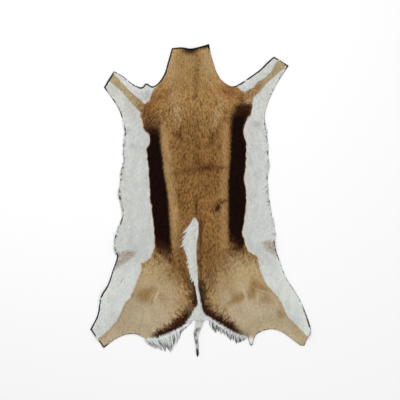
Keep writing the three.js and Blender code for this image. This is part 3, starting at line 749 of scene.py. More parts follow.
def striped(brown, p, ragged, named):
    """The back with its two dark stripes, sharp outside and soft inside."""
    x, y = p.T
    feather = np.interp(y, [106, 130, 150], [2.8, 1.7, 1.0])
    for ring, outer, reds, blacks, pivot, slant in (
        (LEFT_STRIPE, -1, [106, 122, 131], [125, 136], 160, -0.4),
        (RIGHT_STRIPE, 1, [97, 102, 106], [104, 118], 240, -0.8),
    ):
        own_side = step_up(outer * (x - SPINE), 0, 1)
        deep = depth(ragged, ring) / feather
        low = y + 2.0 * soft_noise(p, 1.5, 24) + slant * (x - pivot)
        soft = step_up(deep, -2.6, 1.6) * own_side * (1 - step_up(low, 245, 256))
        brown = blend(brown, named["chestnut"], soft * np.interp(y, reds, [0, 0.55, 1]))
        black = np.interp(y, blacks, [0, 1]) * (1 - step_up(low, 236, 254))
        brown = blend(brown, named["chocolate"], step_up(deep, -2.1, 1.4) * own_side * black)
    return brown


def white_colours(p, deep, named):
    """The white of the flanks and legs, creamy beside the brown, with painted shade in its
    hollows.
    """
    y = p[:, 1]
    faint = 1 + 0.03 * soft_noise(p * (1, 0.25), 4.0, 31)
    level = np.interp(y, [90, 140, 248, 284], [0.97, 0.88, 0.88, 1.0])
    white = patched(named["white"] * (faint * level)[:, None], p, WHITE_PATCHES, named)
    beside = bell(deep, -0.8, 0.6) * (y > CREAM_FROM) * (y < CREAM_TO)
    white = blend(white, named["cream"], 0.7 * beside)
    return blend(white, named["rump_cream"], 0.4 * (bell(deep, -0.2, 0.8) * (y > HIND_TOP)))


def coat_colours(points, colours):
    """The coat's colour at each point, as red, green and blue."""
    named = {k: np.array(getattr(colours, k)) for k in CoatColours.__annotations__}
    p = to_squares(points)
    x, y = p.T
    ragged = p + np.stack([soft_noise(p, 2.2, seed) * 0.45 for seed in (11, 12)], 1)
    brown = rump_rims(back_colours(x, y, named), p, named)
    brown = striped(patched(brown, ragged, PATCHES, named), p, ragged, named)
    deep = depth(ragged, BROWN)
    brown = blend(brown, named["rump_tan"], 0.3 * bell(deep, 0.8, 0.9) * (y > HIND_TOP))
    found = blend(white_colours(p, deep, named), brown, step_up(deep, -0.7, 0.0))
    strips = covered(ragged, (LEFT_LEG_STRIP, RIGHT_LEG_STRIP), -0.8, 0.8)
    joint = step_up(np.maximum(JOINTS[0] - x, x - JOINTS[1]), -3.5, 3)
    shin = step_up(np.maximum(SHINS[0] - x, x - SHINS[1]), -6, 5)
    bare = covered(ragged, (LEFT_GROIN, RIGHT_GROIN), -2.0, 1.6)
    crinkle = 0.75 + 0.35 * soft_noise(p, 1.1, 41)
    strand = covered(ragged, (TAIL_STRAND,), -0.6, 0.6)
    grey = 0.28 + 0.5 * np.clip(soft_noise(p, 2.4, 42), 0, 1) + 0.6 * step_up(y, 343, 350)
    for name, share in (
        ("joint_tan", strips * joint),
        ("leg_tan", strips * shin),
        ("groin", bare * crinkle),
        ("fringe", covered(ragged, (LEFT_HEM, RIGHT_HEM), -0.3, 0.6)),
        ("fan", covered(ragged, (FAN_BED,), -0.5, 0.6)),
        ("fan", strand),
        ("dark_hair_and_painted_shade", strand * np.clip(grey, 0, 1)),
    ):
        found = blend(found, named[name], share)
    return found


# Meshes from arrays


def points_of(mesh):
    places = np.empty(len(mesh.vertices) * 3, np.float32)
    mesh.vertices.foreach_get("co", places)
    return places.reshape(-1, 3).astype(float)


def mesh_of(name, places, faces, colours):
    """A piece from arrays: its points, faces as lists of quads and triangles, point colours."""
    mesh = bpy.data.meshes.new(name)
    corners = np.concatenate([f.ravel() for f in faces])
    sizes = np.concatenate([np.full(len(f), f.shape[1]) for f in faces])
    starts = np.r_[0, np.cumsum(sizes)[:-1]]
    mesh.vertices.add(len(places))
    mesh.vertices.foreach_set("co", np.asarray(places, np.float32).ravel())
    mesh.loops.add(len(corners))
    mesh.loops.foreach_set("vertex_index", corners.astype(np.int32))
    mesh.polygons.add(len(sizes))
    mesh.polygons.foreach_set("loop_start", starts.astype(np.int32))
    mesh.polygons.foreach_set("use_smooth", np.ones(len(sizes), bool))
    mesh.update(calc_edges=True)
    mesh.validate()
    colour_points(mesh, colours)
    piece = bpy.data.objects.new(name, mesh)
    bpy.context.scene.collection.objects.link(piece)
    return piece


def colour_points(mesh, colours):
    layer = mesh.color_attributes.new(COLOUR_LAYER, "FLOAT_COLOR", "POINT")
    full = np.ones((len(mesh.vertices), 4), np.float32)
    full[:, :3] = colours
    layer.data.foreach_set("color", full.ravel())


def lay_out(piece):
    """A bake map seen straight from above, on which neighbours in the coat stay neighbours."""
    mesh = piece.data
    plan = points_of(mesh)[:, :2]
    low, span = plan.min(0), np.ptp(plan, axis=0)
    corners = np.empty(len(mesh.loops), np.int32)
    mesh.loops.foreach_get("vertex_index", corners)
    layer = mesh.uv_layers.new(name=BAKE_MAP, do_init=False)
    uv = (0.01 + 0.98 * (plan - low) / span)[corners]
    layer.uv.foreach_set("vector", uv.astype(np.float32).ravel())


def tufts(name, rows):
    """Flat tapering tufts that lie along the floor given by each row of path points.

    rows holds path (n, k, 3), half (n, k) widths, colours (n, k, 3) and roll (n).
    """
    path, half, colours, roll = rows
    n, k, _ = path.shape
    way = np.gradient(path[:, :, :2], axis=1)
    way /= np.maximum(np.linalg.norm(way, axis=2, keepdims=True), 1e-9)
    side = across(way) * half[:, :, None]
    tilt = np.tan(roll)[:, None] * half
    left = path[:, :-1].copy()
    right = path[:, :-1].copy()
    left[:, :, :2] += side[:, :-1]
    right[:, :, :2] -= side[:, :-1]
    left[:, :, 2] += tilt[:, :-1]
    right[:, :, 2] -= tilt[:, :-1]
    places = np.concatenate([left, right, path[:, -1:]], 1)
    places[:, :, 2] = np.clip(places[:, :, 2], LOWEST_HAIR, HIGHEST_HAIR)
    shown = np.concatenate([colours[:, :-1], colours[:, :-1], colours[:, -1:]], 1)
    first = np.arange(n)[:, None] * (2 * k - 1)
    quads = [first + np.array([[s, k - 1 + s, k + s, s + 1]]) for s in range(k - 2)]
    tips = first + np.array([[k - 2, 2 * k - 3, 2 * k - 2]])
    faces = [np.vstack(quads), tips]
    piece = mesh_of(name, places.reshape(-1, 3), faces, shown.reshape(-1, 3))
    lay_out(piece)
    return piece


# Materials


def new_material(name):
    material = bpy.data.materials.new(name)
    material.use_nodes = True
    tree = material.node_tree
    return material, tree, tree.nodes["Principled BSDF"]


def point_colour(tree):
    node = tree.nodes.new("ShaderNodeVertexColor")
    node.layer_name = COLOUR_LAYER
    return node.outputs["Color"]


def noise(tree, scale, detail, stretch=None):
    """A noise texture on object coordinates, drawn out where stretch is given."""
    node = tree.nodes.new("ShaderNodeTexNoise")
    node.inputs["Scale"].default_value = scale
    node.inputs["Detail"].default_value = detail
    source = tree.nodes.new("ShaderNodeTexCoord").outputs["Object"]
    if stretch:
        mapping = tree.nodes.new("ShaderNodeMapping")
        mapping.inputs["Scale"].default_value = stretch
        tree.links.new(source, mapping.inputs["Vector"])
        source = mapping.outputs["Vector"]
    tree.links.new(source, node.inputs["Vector"])
    return node.outputs["Fac"]


def ranged(tree, source, low, high):
    """A number between low and high from a value between 0 and 1."""
    node = tree.nodes.new("ShaderNodeMapRange")
    node.inputs["From Min"].default_value = 0.25
    node.inputs["From Max"].default_value = 0.75
    node.inputs["To Min"].default_value = low
    node.inputs["To Max"].default_value = high
    tree.links.new(source, node.inputs["Value"])
    return node.outputs["Result"]


def times(tree, colour, value):
    node = tree.nodes.new("ShaderNodeMix")
    node.data_type = "RGBA"
    node.blend_type = "MULTIPLY"
    node.inputs["Factor"].default_value = 1.0
    tree.links.new(colour, node.inputs["A"])
    tree.links.new(value, node.inputs["B"])
    return node.outputs["Result"]


def finish(tree, colour, roughness, height, strength, distance):
    """Gives the shader its colour, its roughness and a bump of a strength and height."""
    shader = tree.nodes["Principled BSDF"]
    bump = tree.nodes.new("ShaderNodeBump")
    bump.inputs["Strength"].default_value = strength
    bump.inputs["Distance"].default_value = distance
    for source, target in (
        (colour, shader.inputs["Base Color"]),
        (roughness, shader.inputs["Roughness"]),
        (height, bump.inputs["Height"]),
        (bump.outputs["Normal"], shader.inputs["Normal"]),
    ):
        tree.links.new(source, target)


def hair_material(name, roughness, streak):
    """Hair coloured by its points, with fine streaks of lighter and darker strands."""
    material, tree, shader = new_material(name)
    shader.inputs["Specular IOR Level"].default_value = 0.05
    fine = noise(tree, 420, 2.0, (1.0, 0.35, 1.0))
    broad = noise(tree, 60, 3.0, (1.0, 0.5, 1.0))
    varied = times(tree, point_colour(tree), ranged(tree, fine, 1 - streak, 1 + streak))
    varied = times(tree, varied, ranged(tree, broad, 0.94, 1.06))
    rough = ranged(tree, fine, roughness - 0.08, roughness + 0.08)
    finish(tree, varied, rough, fine, 0.25, 0.4 * MM)
    return material


def underfur_material():
    """The skin's upper side, in the coat's colours darkened as painted shade, seen between the
    tufts.
    """
    material, tree, shader = new_material("Underfur")
    shader.inputs["Specular IOR Level"].default_value = 0.08
    fine = noise(tree, 700, 4.0)
    varied = times(tree, point_colour(tree), ranged(tree, fine, 0.7, 1.05))
    finish(tree, varied, ranged(tree, fine, 0.75, 0.95), fine, 0.5, 0.8 * MM)
    return material


def leather_material(name, colour, shade):
    """Suede: a soft nap with faint cloudy stains and small creases."""
    material, tree, shader = new_material(name)
    shader.inputs["Specular IOR Level"].default_value = 0.15
    nap = noise(tree, 900, 3.0)
    ramp = tree.nodes.new("ShaderNodeValToRGB")
    ramp.color_ramp.elements[0].position = 0.3
    ramp.color_ramp.elements[0].color = (*[c * shade for c in colour], 1)
    ramp.color_ramp.elements[1].position = 0.72
    ramp.color_ramp.elements[1].color = (*colour, 1)
    tree.links.new(noise(tree, 9, 4.0), ramp.inputs["Fac"])
    both = tree.nodes.new("ShaderNodeMath")
    both.operation = "ADD"
    tree.links.new(nap, both.inputs[0])
    tree.links.new(noise(tree, 45, 5.0), both.inputs[1])
    varied = times(tree, ramp.outputs["Color"], ranged(tree, nap, 0.86, 1.05))
    rough = ranged(tree, nap, 0.78, 0.96)
    finish(tree, varied, rough, both.outputs[0], 0.35, 0.6 * MM)
    return material


# Hair


def lie_of(points):
    """Heading and length of the hair at each point, blended from the flow table."""
    table = np.array(FLOW, float)
    weight = near_weights(to_squares(points), table, 30)
    turn = np.radians(table[:, 2])
    cos, sin = (weight * np.cos(turn)).sum(1), (weight * np.sin(turn)).sum(1)
    return np.arctan2(sin, cos), (weight * table[:, 3]).sum(1) / weight.sum(1) * MM


def streaks(p, heading, along, aside, seed):
    """Noise drawn out along the hair, for points in squares."""
    found = np.zeros(len(p))
    nearest = np.round(heading / STREAK_TURN).astype(int)
    for k in np.unique(nearest):
        chosen = nearest == k
        # Headings turn the other way in squares, whose second axis points down
        cos, sin = np.cos(-STREAK_TURN * k), np.sin(-STREAK_TURN * k)
        u = p[chosen] @ (cos, sin) / along
        v = p[chosen] @ (-sin, cos) / aside
        found[chosen] = soft_noise(np.stack([u, v], 1), 1.0, seed)
    return found


def rim_margin(p):
    """How far hair keeps from the cut edge, below 0 where it hangs over."""
    table = np.array(RIM, float)
    weight = near_weights(p, table, 2)
    total = weight.sum(1)
    width = (weight * table[:, 2]).sum(1) / total
    broken = (weight * table[:, 3]).sum(1) / total
    over = (0.5 + 0.9 * soft_noise(p, 1.6, 71) < broken) & (broken > 0.08)
    return np.where(over, -1.0, width + 1.7 * step_up(width, 0.8, 2.4)) * MM


def raised(plan, level):
    """Paths in space from their places in plan and their heights."""
    return np.concatenate([plan, level[:, :, None]], 2)


def toned(shown, along):
    """Each hair's colour at its path points, times the tones along it."""
    return np.clip(shown[:, None, :] * along[..., None], 0, BRIGHTEST)


def bowed(start, end, bow, t):
    """Points at shares t of the way along each hair, which bows aside in its middle."""
    span = end - start
    return (
        start[:, None, :]
        + span[:, None, :] * t[None, :, None]
        + across(span)[:, None, :] * (bow[:, None] * np.sin(np.pi * t))[:, :, None]
    )


def trimmed(points, heading, long):
    """Lengths cut back where hair would grow past the rim, and which hairs are left."""
    heights = hide_heights()
    way = np.stack([np.cos(heading), np.sin(heading)], 1)
    here, there = heights.rim(points), heights.rim(points + way * long[:, None])
    margin = np.full(len(points), RIM_FREE)
    near = np.minimum(here, there) < 6 * MM
    if near.any():
        margin[near] = chunked(rim_margin, to_squares(points[near]))
    share = (here - margin) / np.maximum(here - there, 0.1 * MM)
    long = long * np.where(there < margin, np.clip(share, 0, 1), 1)
    return long, (long > 2.2 * MM) & (here > margin + 0.3 * MM)


def strand_tones(p, lie, coarse, light, rng):
    """How much lighter or darker each tuft is than its place: clumps, flecks and chance."""
    x, y = p.T
    fine = streaks(p, lie, 1.5, 0.5, 55)
    fleck = step_up(soft_noise(p, 1.1, 56), 0.4, 0.85)
    flecked = 0.7 * step_up(-fine, 0.08, 0.5) + 0.45 * fleck
    clump = np.minimum(0.31 + 0.38 * coarse + 0.36 * fine - 1.1 * flecked, 0.44)
    rumps = 0.7 * step_up(y, 256, 286) * step_up(np.abs(x - MIDDLE), 14, 34)
    neck = 0.5 * (1 - step_up(y, 70, 112))
    calm = np.maximum.reduce([rumps, neck, 0.6 * np.maximum(*inner_bands(x, y))])
    fading = np.interp(light, [0.0, 0.22, 0.36, 0.6], [1.0, 0.9, 0.45, 0.06])
    spread = np.interp(light, [0.0, 0.1, 0.5], [0.26, 0.22, 0.05]) * (1 - 0.6 * calm)
    return clump * (1 - calm) * fading + np.clip(rng.normal(0, 1, len(p)) * spread, -0.6, 0.5)


def rolls(rng, n, spread):
    return np.clip(rng.normal(0, spread, n), -STEEPEST_ROLL, STEEPEST_ROLL)


def coat_rows(points, seed):
    """Paths, widths, colours and rolls of the coat's tufts at these roots."""
    sizes, colours = settings()
    heights = hide_heights()
    rng = np.random.default_rng(seed)
    lie, long = chunked(lie_of, points)
    p = to_squares(points)
    heading = lie + 0.16 * soft_noise(p, 5.0, 51) + 0.2 * soft_noise(p, 1.7, 52)
    heading = heading + rng.normal(0, 0.13, len(points))
    long, kept = trimmed(points, heading, long * rng.uniform(0.6, 1.0, len(points)))
    points, p, lie, heading, long = (a[kept] for a in (points, p, lie, heading, long))
    n = len(points)
    bend = 0.25 * soft_noise(p, 3.0, 53) + rng.normal(0, 0.12, n)
    bend = bend * np.clip(heights.rim(points) / (12 * MM), 0, 1)
    steps = np.array([0.0, 0.5, 1.0])
    turn = heading[:, None] + bend[:, None] * steps
    reach = long[:, None] * steps
    plan = points[:, None, :] + np.stack([reach * np.cos(turn), reach * np.sin(turn)], 2)
    coarse = streaks(p, lie, 1.7, 0.8, 54)
    deep = heights.coat(points) * rng.uniform(0.7, 1.22, n) * (1 + 0.2 * coarse)
    level = heights.floor(plan) + UNDERFUR + deep[:, None] * np.array([0.0, 0.8, 1.0])
    half = sizes.coat_width / 2 * rng.uniform(0.7, 1.25, n)[:, None] * [0.8, 1.0, 0.0]
    seen = points + (plan[:, 1] - points) * 1.2
    shown = chunked(lambda q: coat_colours(q, colours), seen)
    light = shown.mean(1)
    tones = strand_tones(p, lie, coarse, light, rng)
    # Pale strands are strawy and dark ones redder
    shown = shown * np.exp(tones[:, None] * (0.8, 1.0, 1.25))
    root = np.interp(light, [0.1, 0.6], [0.7, 0.9])
    along = np.stack([root, np.ones(n), np.full(n, 1.06)], 1)
    return raised(plan, level), half, toned(shown, along), rolls(rng, n, 0.3)


def row_points(row, share):
    """Root and tip at a share of the way along a row of long hair."""
    table = squares([p for pair in row for p in pair]).reshape(-1, 2, 2)
    at = np.linspace(0, 1, len(table))
    return [
        np.stack([np.interp(share, at, table[:, end, k]) for k in (0, 1)], 1)
        for end in (0, 1)
    ]


def lock_rows(row, locks, hairs, steps, seed, colour_of):
    """Long hairs gathered in locks: each lock's hairs part at the root and meet at the tip."""
    rng = np.random.default_rng(seed)
    share = np.sort((np.arange(locks) + rng.uniform(-0.3, 0.3, locks) + 0.5) / locks)
    root, tip = row_points(row, share)
    way = tip - root
    long = np.linalg.norm(way, axis=1, keepdims=True)
    beside = across(way) / long
    tip = root + way * rng.uniform(0.82, 1.08, (locks, 1))
    tip = tip + beside * long * rng.normal(0, 0.06, (locks, 1))
    n = locks * hairs
    which = np.repeat(np.arange(locks), hairs)
    ends = row_points(row, np.array([0, 1.0]))[0]
    spacing = np.linalg.norm(ends[1] - ends[0]) / locks
    aside = rng.normal(0, 0.75, n)
    start = root[which] + beside[which] * aside[:, None] * spacing
    start = start - way[which] * rng.uniform(0, 0.12, (n, 1))
    gathered = 0.22 * aside + rng.normal(0, 0.1, n)
    end = tip[which] + beside[which] * gathered[:, None] * spacing
    end = end + way[which] * rng.uniform(-0.26, 0.05, (n, 1))
    bow = rng.normal(0, 0.06, locks)[which] + rng.normal(0, 0.03, n)
    t = np.linspace(0, 1, steps)
    plan = bowed(start, end, bow, t)
    fall = 2.6 * MM * (1 - t) ** 1.4 + 0.5 * MM
    level = hide_heights().floor(plan) + fall * rng.uniform(0.45, 1.15, (n, 1))
    taper = np.interp(t, [0, 0.4, 1], [0.8, 1.0, 0.0])
    half = LOCK_HAIR_WIDTH / 2 * rng.uniform(0.7, 1.3, (n, 1)) * taper
    shown = colour_of(rng, which, t, np.abs(aside))
    return raised(plan, level), half, shown, rolls(rng, n, 0.35)


# Operators


def settings():
    return bpy.context.scene.hide_sizes, bpy.context.scene.hide_colours


def start_clean():
    bpy.ops.object.select_all(action="DESELECT")


def dress(piece, materials):
    """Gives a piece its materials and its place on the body."""
    for material in materials:
        piece.data.materials.append(material)
    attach(piece, "root")


def cut_grid(name, ring):
    """A flat grid without the cells whose middles lie outside the ring, its rim selected."""
    low, high = ring.min(0), ring.max(0)
    span = high - low + 2 * SKIN_PITCH
    cells = np.ceil(span / SKIN_PITCH).astype(int)
    start_clean()
    bpy.ops.mesh.primitive_grid_add(
        x_subdivisions=int(cells[0]),
        y_subdivisions=int(cells[1]),
        size=1,
        location=((low[0] + high[0]) / 2, (low[1] + high[1]) / 2, 0),
    )
    grid = bpy.context.active_object
    grid.scale = (span[0], span[1], 1)
    bpy.ops.object.transform_apply(location=True, rotation=True, scale=True)
    grid.name = grid.data.name = name
    centres = np.array([f.center[:2] for f in grid.data.polygons])
    bpy.ops.object.mode_set(mode="EDIT")
    bpy.ops.mesh.select_mode(type="FACE")
    bpy.ops.mesh.select_all(action="DESELECT")
    bpy.ops.object.mode_set(mode="OBJECT")
    grid.data.polygons.foreach_set("select", ~is_inside(centres, ring))
    bpy.ops.object.mode_set(mode="EDIT")
    bpy.ops.mesh.delete(type="FACE")
    bpy.ops.mesh.select_all(action="SELECT")
    bpy.ops.mesh.region_to_loop()
    bpy.ops.object.mode_set(mode="OBJECT")
    return grid


def fit_to_hide(grid, ring):
    """Moves the grid's rim onto the ring, and all of it onto the hide's folds."""
    mesh = grid.data
    rim = np.array([v.select for v in mesh.vertices])
    places = points_of(mesh)
    plan = places[:, :2]
    plan[rim] = nearest_on(plan[rim], ring)[0]
    for corner in sharp_corners(ring):
        reach = ((plan - corner) ** 2).sum(1)
        plan[np.argmin(np.where(rim, reach, np.inf))] = corner
    places[:, 2] = hide_heights().floor(plan)
    mesh.vertices.foreach_set("co", places.astype(np.float32).ravel())
    bpy.ops.object.mode_set(mode="EDIT")
    bpy.ops.mesh.select_all(action="SELECT")
    bpy.ops.mesh.dissolve_degenerate(threshold=0.2 * MM)
    bpy.ops.mesh.normals_make_consistent(inside=False)
    bpy.ops.object.mode_set(mode="OBJECT")
    if np.mean([f.normal.z for f in mesh.polygons]) < 0:
        mesh.flip_normals()


class HIDE_OT_skin(bpy.types.Operator):
    """Tanned skin with its undercoat: one thin sheet that lies on the CAD hide's folds"""

    bl_idname = "hide.skin"
    bl_label = "Skin"

    def execute(self, context):
        sizes, colours = settings()
        ring = hide_outline()
        skin = cut_grid("skin", ring)
        fit_to_hide(skin, ring)
        solid = skin.modifiers.new("Thickness", "SOLIDIFY")
        solid.thickness = sizes.skin
        solid.offset = 1.0
        solid.material_offset = 1
        solid.material_offset_rim = 2
        solid.use_even_offset = False
        bpy.ops.object.modifier_apply(modifier="Thickness")
        bpy.ops.object.shade_smooth_by_angle(angle=0.7)
        plan = points_of(skin.data)[:, :2]
        shown = coat_colours(plan, colours)
        # Painted shadow: the skin's top goes near black along the outline, with the cut edge
        edge_shadow_share = 1 - step_up(nearest_on(plan, ring)[1], 5.0 * MM, 9.0 * MM)
        # Painted shade: the skin under the tufts is darker than the coat, dark coat more than pale
        shaded = np.interp(shown.mean(1), [0.25, 0.6], [0.62, 0.88])[:, None]
        colour_points(skin.data, blend(shown * shaded, colours.cut_edge_and_painted_shadow, edge_shadow_share))
        suede = leather_material("Suede", colours.leather, 0.72)
        # The skin's side, near black, also paints the shadow under the hide's edge
        edge = leather_material("Cut edge and painted shadow", colours.cut_edge_and_painted_shadow, 0.6)
        dress(skin, (underfur_material(), suede, edge))
        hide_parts("hide")
        return {"FINISHED"}


def coat_roots(count):
    """Random points over the hide, fewer of them in the bare groins."""
    ring = hide_outline()
    filled = ring_area(ring) / (ring.max(0) - ring.min(0)).prod()
    low, high = (np.array(corner)[:2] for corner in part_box("hide"))
    points = np.random.default_rng(5).uniform(low, high, (int(count / filled), 2))
    points = points[hide_heights().rim(points) > 0.6 * MM]
    p = to_squares(points)
    bare = np.maximum(depth(p, LEFT_GROIN), depth(p, RIGHT_GROIN)) > 0
    left_out = np.random.default_rng(6).uniform(0, 1, len(points)) < 0.55
    return points[~(bare & left_out)]


class HIDE_OT_coat(bpy.types.Operator):
    """Short coat over the whole hide, in seven pieces from neck to feet"""

    bl_idname = "hide.coat"
    bl_label = "Coat"

    def execute(self, context):
        sizes, _ = settings()
        points = coat_roots(sizes.coat_hairs)
        p = to_squares(points)
        x, y = p.T
        brown = depth(p, BROWN) > 0
        pieces = {
            "coat_neck": brown & (y < NECK_END),
            "coat_saddle": brown & (y >= NECK_END) & (y < SADDLE_END),
            "coat_loins": brown & (y >= SADDLE_END) & (y < LOINS_END),
            "coat_rump_left": brown & (y >= LOINS_END) & (x < MIDDLE),
            "coat_rump_right": brown & (y >= LOINS_END) & (x >= MIDDLE),
            "coat_side_left": ~brown & (x < MIDDLE),
            "coat_side_right": ~brown & (x >= MIDDLE),
        }
        short = hair_material("Short coat", 0.7, 0.12)
        pale = hair_material("White coat", 0.66, 0.03)
        for seed, (name, chosen) in enumerate(pieces.items(), 60):
            piece = tufts(name, coat_rows(points[chosen], seed))
            if "side" in name:
                dress(piece, [pale])
            else:
                dress(piece, [short])
        return {"FINISHED"}


class HIDE_OT_rump_locks(bpy.types.Operator):
    """Long white locks that hang past the lower edge of the rump, left and right of the tail"""

    bl_idname = "hide.rump_locks"
    bl_label = "Rump locks"

    def execute(self, context):
        sizes, colours = settings()

        def parted_at(parting, shadow_tip_share):
            """Colours with dark hair at the locks' sides and on some locks' tips: painted shade
            between the locks and painted shadow at their tips.
            """

            def colour_of(rng, which, t, edge):
                n = len(which)
                shadow_tipped = rng.uniform(0, 1, which[-1] + 1) < shadow_tip_share
                shadow_tipped = shadow_tipped[which] * (rng.uniform(0, 1, n) < 0.6)
                # Dark hairs at the parting paint the shade between the locks
                shade_at_sides = (edge > parting) * (rng.uniform(0, 1, n) < 0.85)
                sides, tips = step_up(t, 0.02, 0.45), step_up(t, 0.3, 0.75)
                dark = np.maximum(shade_at_sides[:, None] * sides, shadow_tipped[:, None] * tips)
                share = np.clip(dark, 0, 0.97)[:, :, None]
                shown = np.array(colours.fringe) * (1 - share)
                shown = shown + np.array(colours.dark_hair_and_painted_shade) * share
                shown = shown * rng.uniform(0.88, 1.1, (n, 1, 1))
                tones = np.interp(t, [0, 1], [0.9, 1.03])[:, None]
                return np.clip(shown * tones, 0, BRIGHTEST)

            return colour_of

        material = hair_material("Long white hair", 0.6, 0.06)
        for side, row, parting, shadow_tip_share, seed in (
            ("left", LEFT_RUMP_LOCKS, 0.72, 0.65, 80),
            ("right", RIGHT_RUMP_LOCKS, 0.55, 0.6, 81),
        ):
            colour_of = parted_at(parting, shadow_tip_share)
            rows = lock_rows(row, sizes.long_locks, sizes.lock_hairs, 5, seed, colour_of)
            piece = tufts(f"rump_hair_{side}", rows)
            dress(piece, [material])
            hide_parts(f"rump_locks_{side}")
        return {"FINISHED"}


class HIDE_OT_belly_rims(bpy.types.Operator):
    """Short pale tufts that stand out past both belly edges, with dark ones among them as painted
    shadow
    """

    bl_idname = "hide.belly_rims"
    bl_label = "Belly rims"

    def execute(self, context):
        sizes, colours = settings()

        def colour_of(rng, which, t, edge):
            n = len(which)
            # Dark tufts paint the shadows of the pale hair at the belly edge
            shadow_tufted = rng.uniform(0, 1, which[-1] + 1) < 0.6
            shown = blend(colours.white, colours.dark_hair_and_painted_shade, shadow_tufted[which] * rng.uniform(0.6, 1, n))
            shown = shown * rng.uniform(0.85, 1.08, (n, 1))
            return toned(shown, np.ones(len(t)))

        material = hair_material("Belly hair", 0.6, 0.05)
        left, right = two_edges(BARREL)
        for side, barrel, leg, out, top, bottom, seed in (
            ("left", left, LEFT_FORELEG_BACK, -1, 232, -186, 90),
            ("right", right, RIGHT_FORELEG_BACK, 1, 248, -158, 91),
        ):
            edge = spline([*leg[::-1], *barrel], OUTLINE_STEP)
            edge = edge[(edge[:, 1] < top) & (edge[:, 1] > bottom)]
            ends = (edge - (out * 6.0, -3.0), edge + (out * 2.0, -10.0))
            row = np.stack([to_squares(outline_points(end)) for end in ends], 1)
            rows = lock_rows(row, sizes.rim_tufts, sizes.rim_hairs, 4, seed, colour_of)
            piece = tufts(f"belly_hair_{side}", rows)
            dress(piece, [material])
            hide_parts(f"belly_locks_{side}")
        return {"FINISHED"}


class HIDE_OT_back_fan(bpy.types.Operator):
    """Fan of long white hair that opens along the back fold"""

    bl_idname = "hide.back_fan"
    bl_label = "Back fan"

    def execute(self, context):
        sizes, colours = settings()
        heights = hide_heights()
        rng = np.random.default_rng(100)
        n = sizes.fan_hairs
        share = rng.uniform(0, 1, n) ** 0.85
        root, tip = row_points(FAN_LOCKS, share)
        way = tip - root
        start = root + way * (rng.uniform(0, 0.62, n) ** 1.1)[:, None]
        start = start + rng.normal(0, 1.1 * MM, (n, 2))
        lock = soft_noise(np.stack([share * 60, np.zeros(n)], 1), 1.0, 101)
        end = tip + way * (0.24 * lock - 0.12 + rng.uniform(-0.26, 0.05, n))[:, None]
        t = np.linspace(0, 1, 5)
        plan = bowed(start, end, -0.10 + 0.05 * lock + rng.normal(0, 0.03, n), t)
        base = heights.floor(plan) + heights.coat(plan) + UNDERFUR
        rise = np.interp(t, [0, 0.3, 1], [-1.6, 1.6, 0.9]) * MM
        level = base + rise * rng.uniform(0.6, 1.4, (n, 1))
        taper = np.interp(t, [0, 0.4, 1], [0.8, 1.0, 0.0])
        half = FAN_HAIR_HALF * rng.uniform(0.7, 1.3, (n, 1)) * taper
        # Greyer locks: partly the fan's grey streak, partly painted shade between the locks
        grey_and_shade_share = np.clip(0.32 * lock + rng.normal(0.0, 0.14, n), 0, 0.8)
        shown = blend(colours.fan, colours.fan_grey_and_painted_shade, grey_and_shade_share)
        shown = shown * rng.uniform(0.82, 1.12, (n, 1))
        shown = toned(shown, np.interp(t, [0, 1], [0.9, 1.04]))
        piece = tufts("fan_hair", (raised(plan, level), half, shown, rolls(rng, n, 0.3)))
        dress(piece, [hair_material("Fan hair", 0.6, 0.05)])
        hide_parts("back_fan")
        return {"FINISHED"}


class HIDE_OT_tail(bpy.types.Operator):
    """Hair of the tail strip, white at the root and dark at its tuft"""

    bl_idname = "hide.tail"
    bl_label = "Tail"

    def execute(self, context):
        sizes, colours = settings()
        rng = np.random.default_rng(110)
        n = sizes.tail_hairs
        rows = [(-y, (a + b) / 2, (b - a) / 2) for y, a, b in TAIL[1:]]
        drops, middles, reaches = np.array([*rows, TAIL_END], float).T
        y = rng.uniform(*TAIL_ROOTS, n)
        middle = np.interp(-y, drops, middles)
        full = np.interp(y, [-500, -470, -430], [0.42, 0.5, 0.95])
        x = middle + np.interp(-y, drops, reaches) * full * rng.uniform(-1, 1, n)
        start = outline_points(np.stack([x, y], 1))
        long = rng.uniform(12, 26, n)
        below = np.interp(-(y - long), drops, middles)
        splay = np.where(y < -470, 0.8, 0.9) * (x - middle)
        end = outline_points(np.stack([below + splay + rng.normal(0, 1.6, n), y - long], 1))
        t = np.linspace(0, 1, 4)
        plan = start[:, None, :] + (end - start)[:, None, :] * t[None, :, None]
        rise = np.interp(t, [0, 0.5, 1], [1.4, 3.4, 1.2]) * MM
        level = hide_heights().floor(plan) + rise * rng.uniform(0.5, 1.2, (n, 1))
        half = TAIL_HAIR_HALF * rng.uniform(0.7, 1.3, (n, 1)) * np.array([0.8, 1, 0.8, 0])
        grey = np.clip(0.2 + 0.95 * soft_noise(start / MM, 8.0, 111), 0, 0.92)
        grey = np.maximum(grey * step_up(-y, 432, 446), step_up(-y, 502, 516))
        shown = blend(colours.fan, colours.dark_hair_and_painted_shade, grey) * rng.uniform(0.75, 1.1, (n, 1))
        shown = toned(shown, np.ones(len(t)))
        piece = tufts("tail_hair", (raised(plan, level), half, shown, rolls(rng, n, 0.4)))
        dress(piece, [hair_material("Tail hair", 0.6, 0.06)])
        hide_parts("tail_tuft")
        return {"FINISHED"}


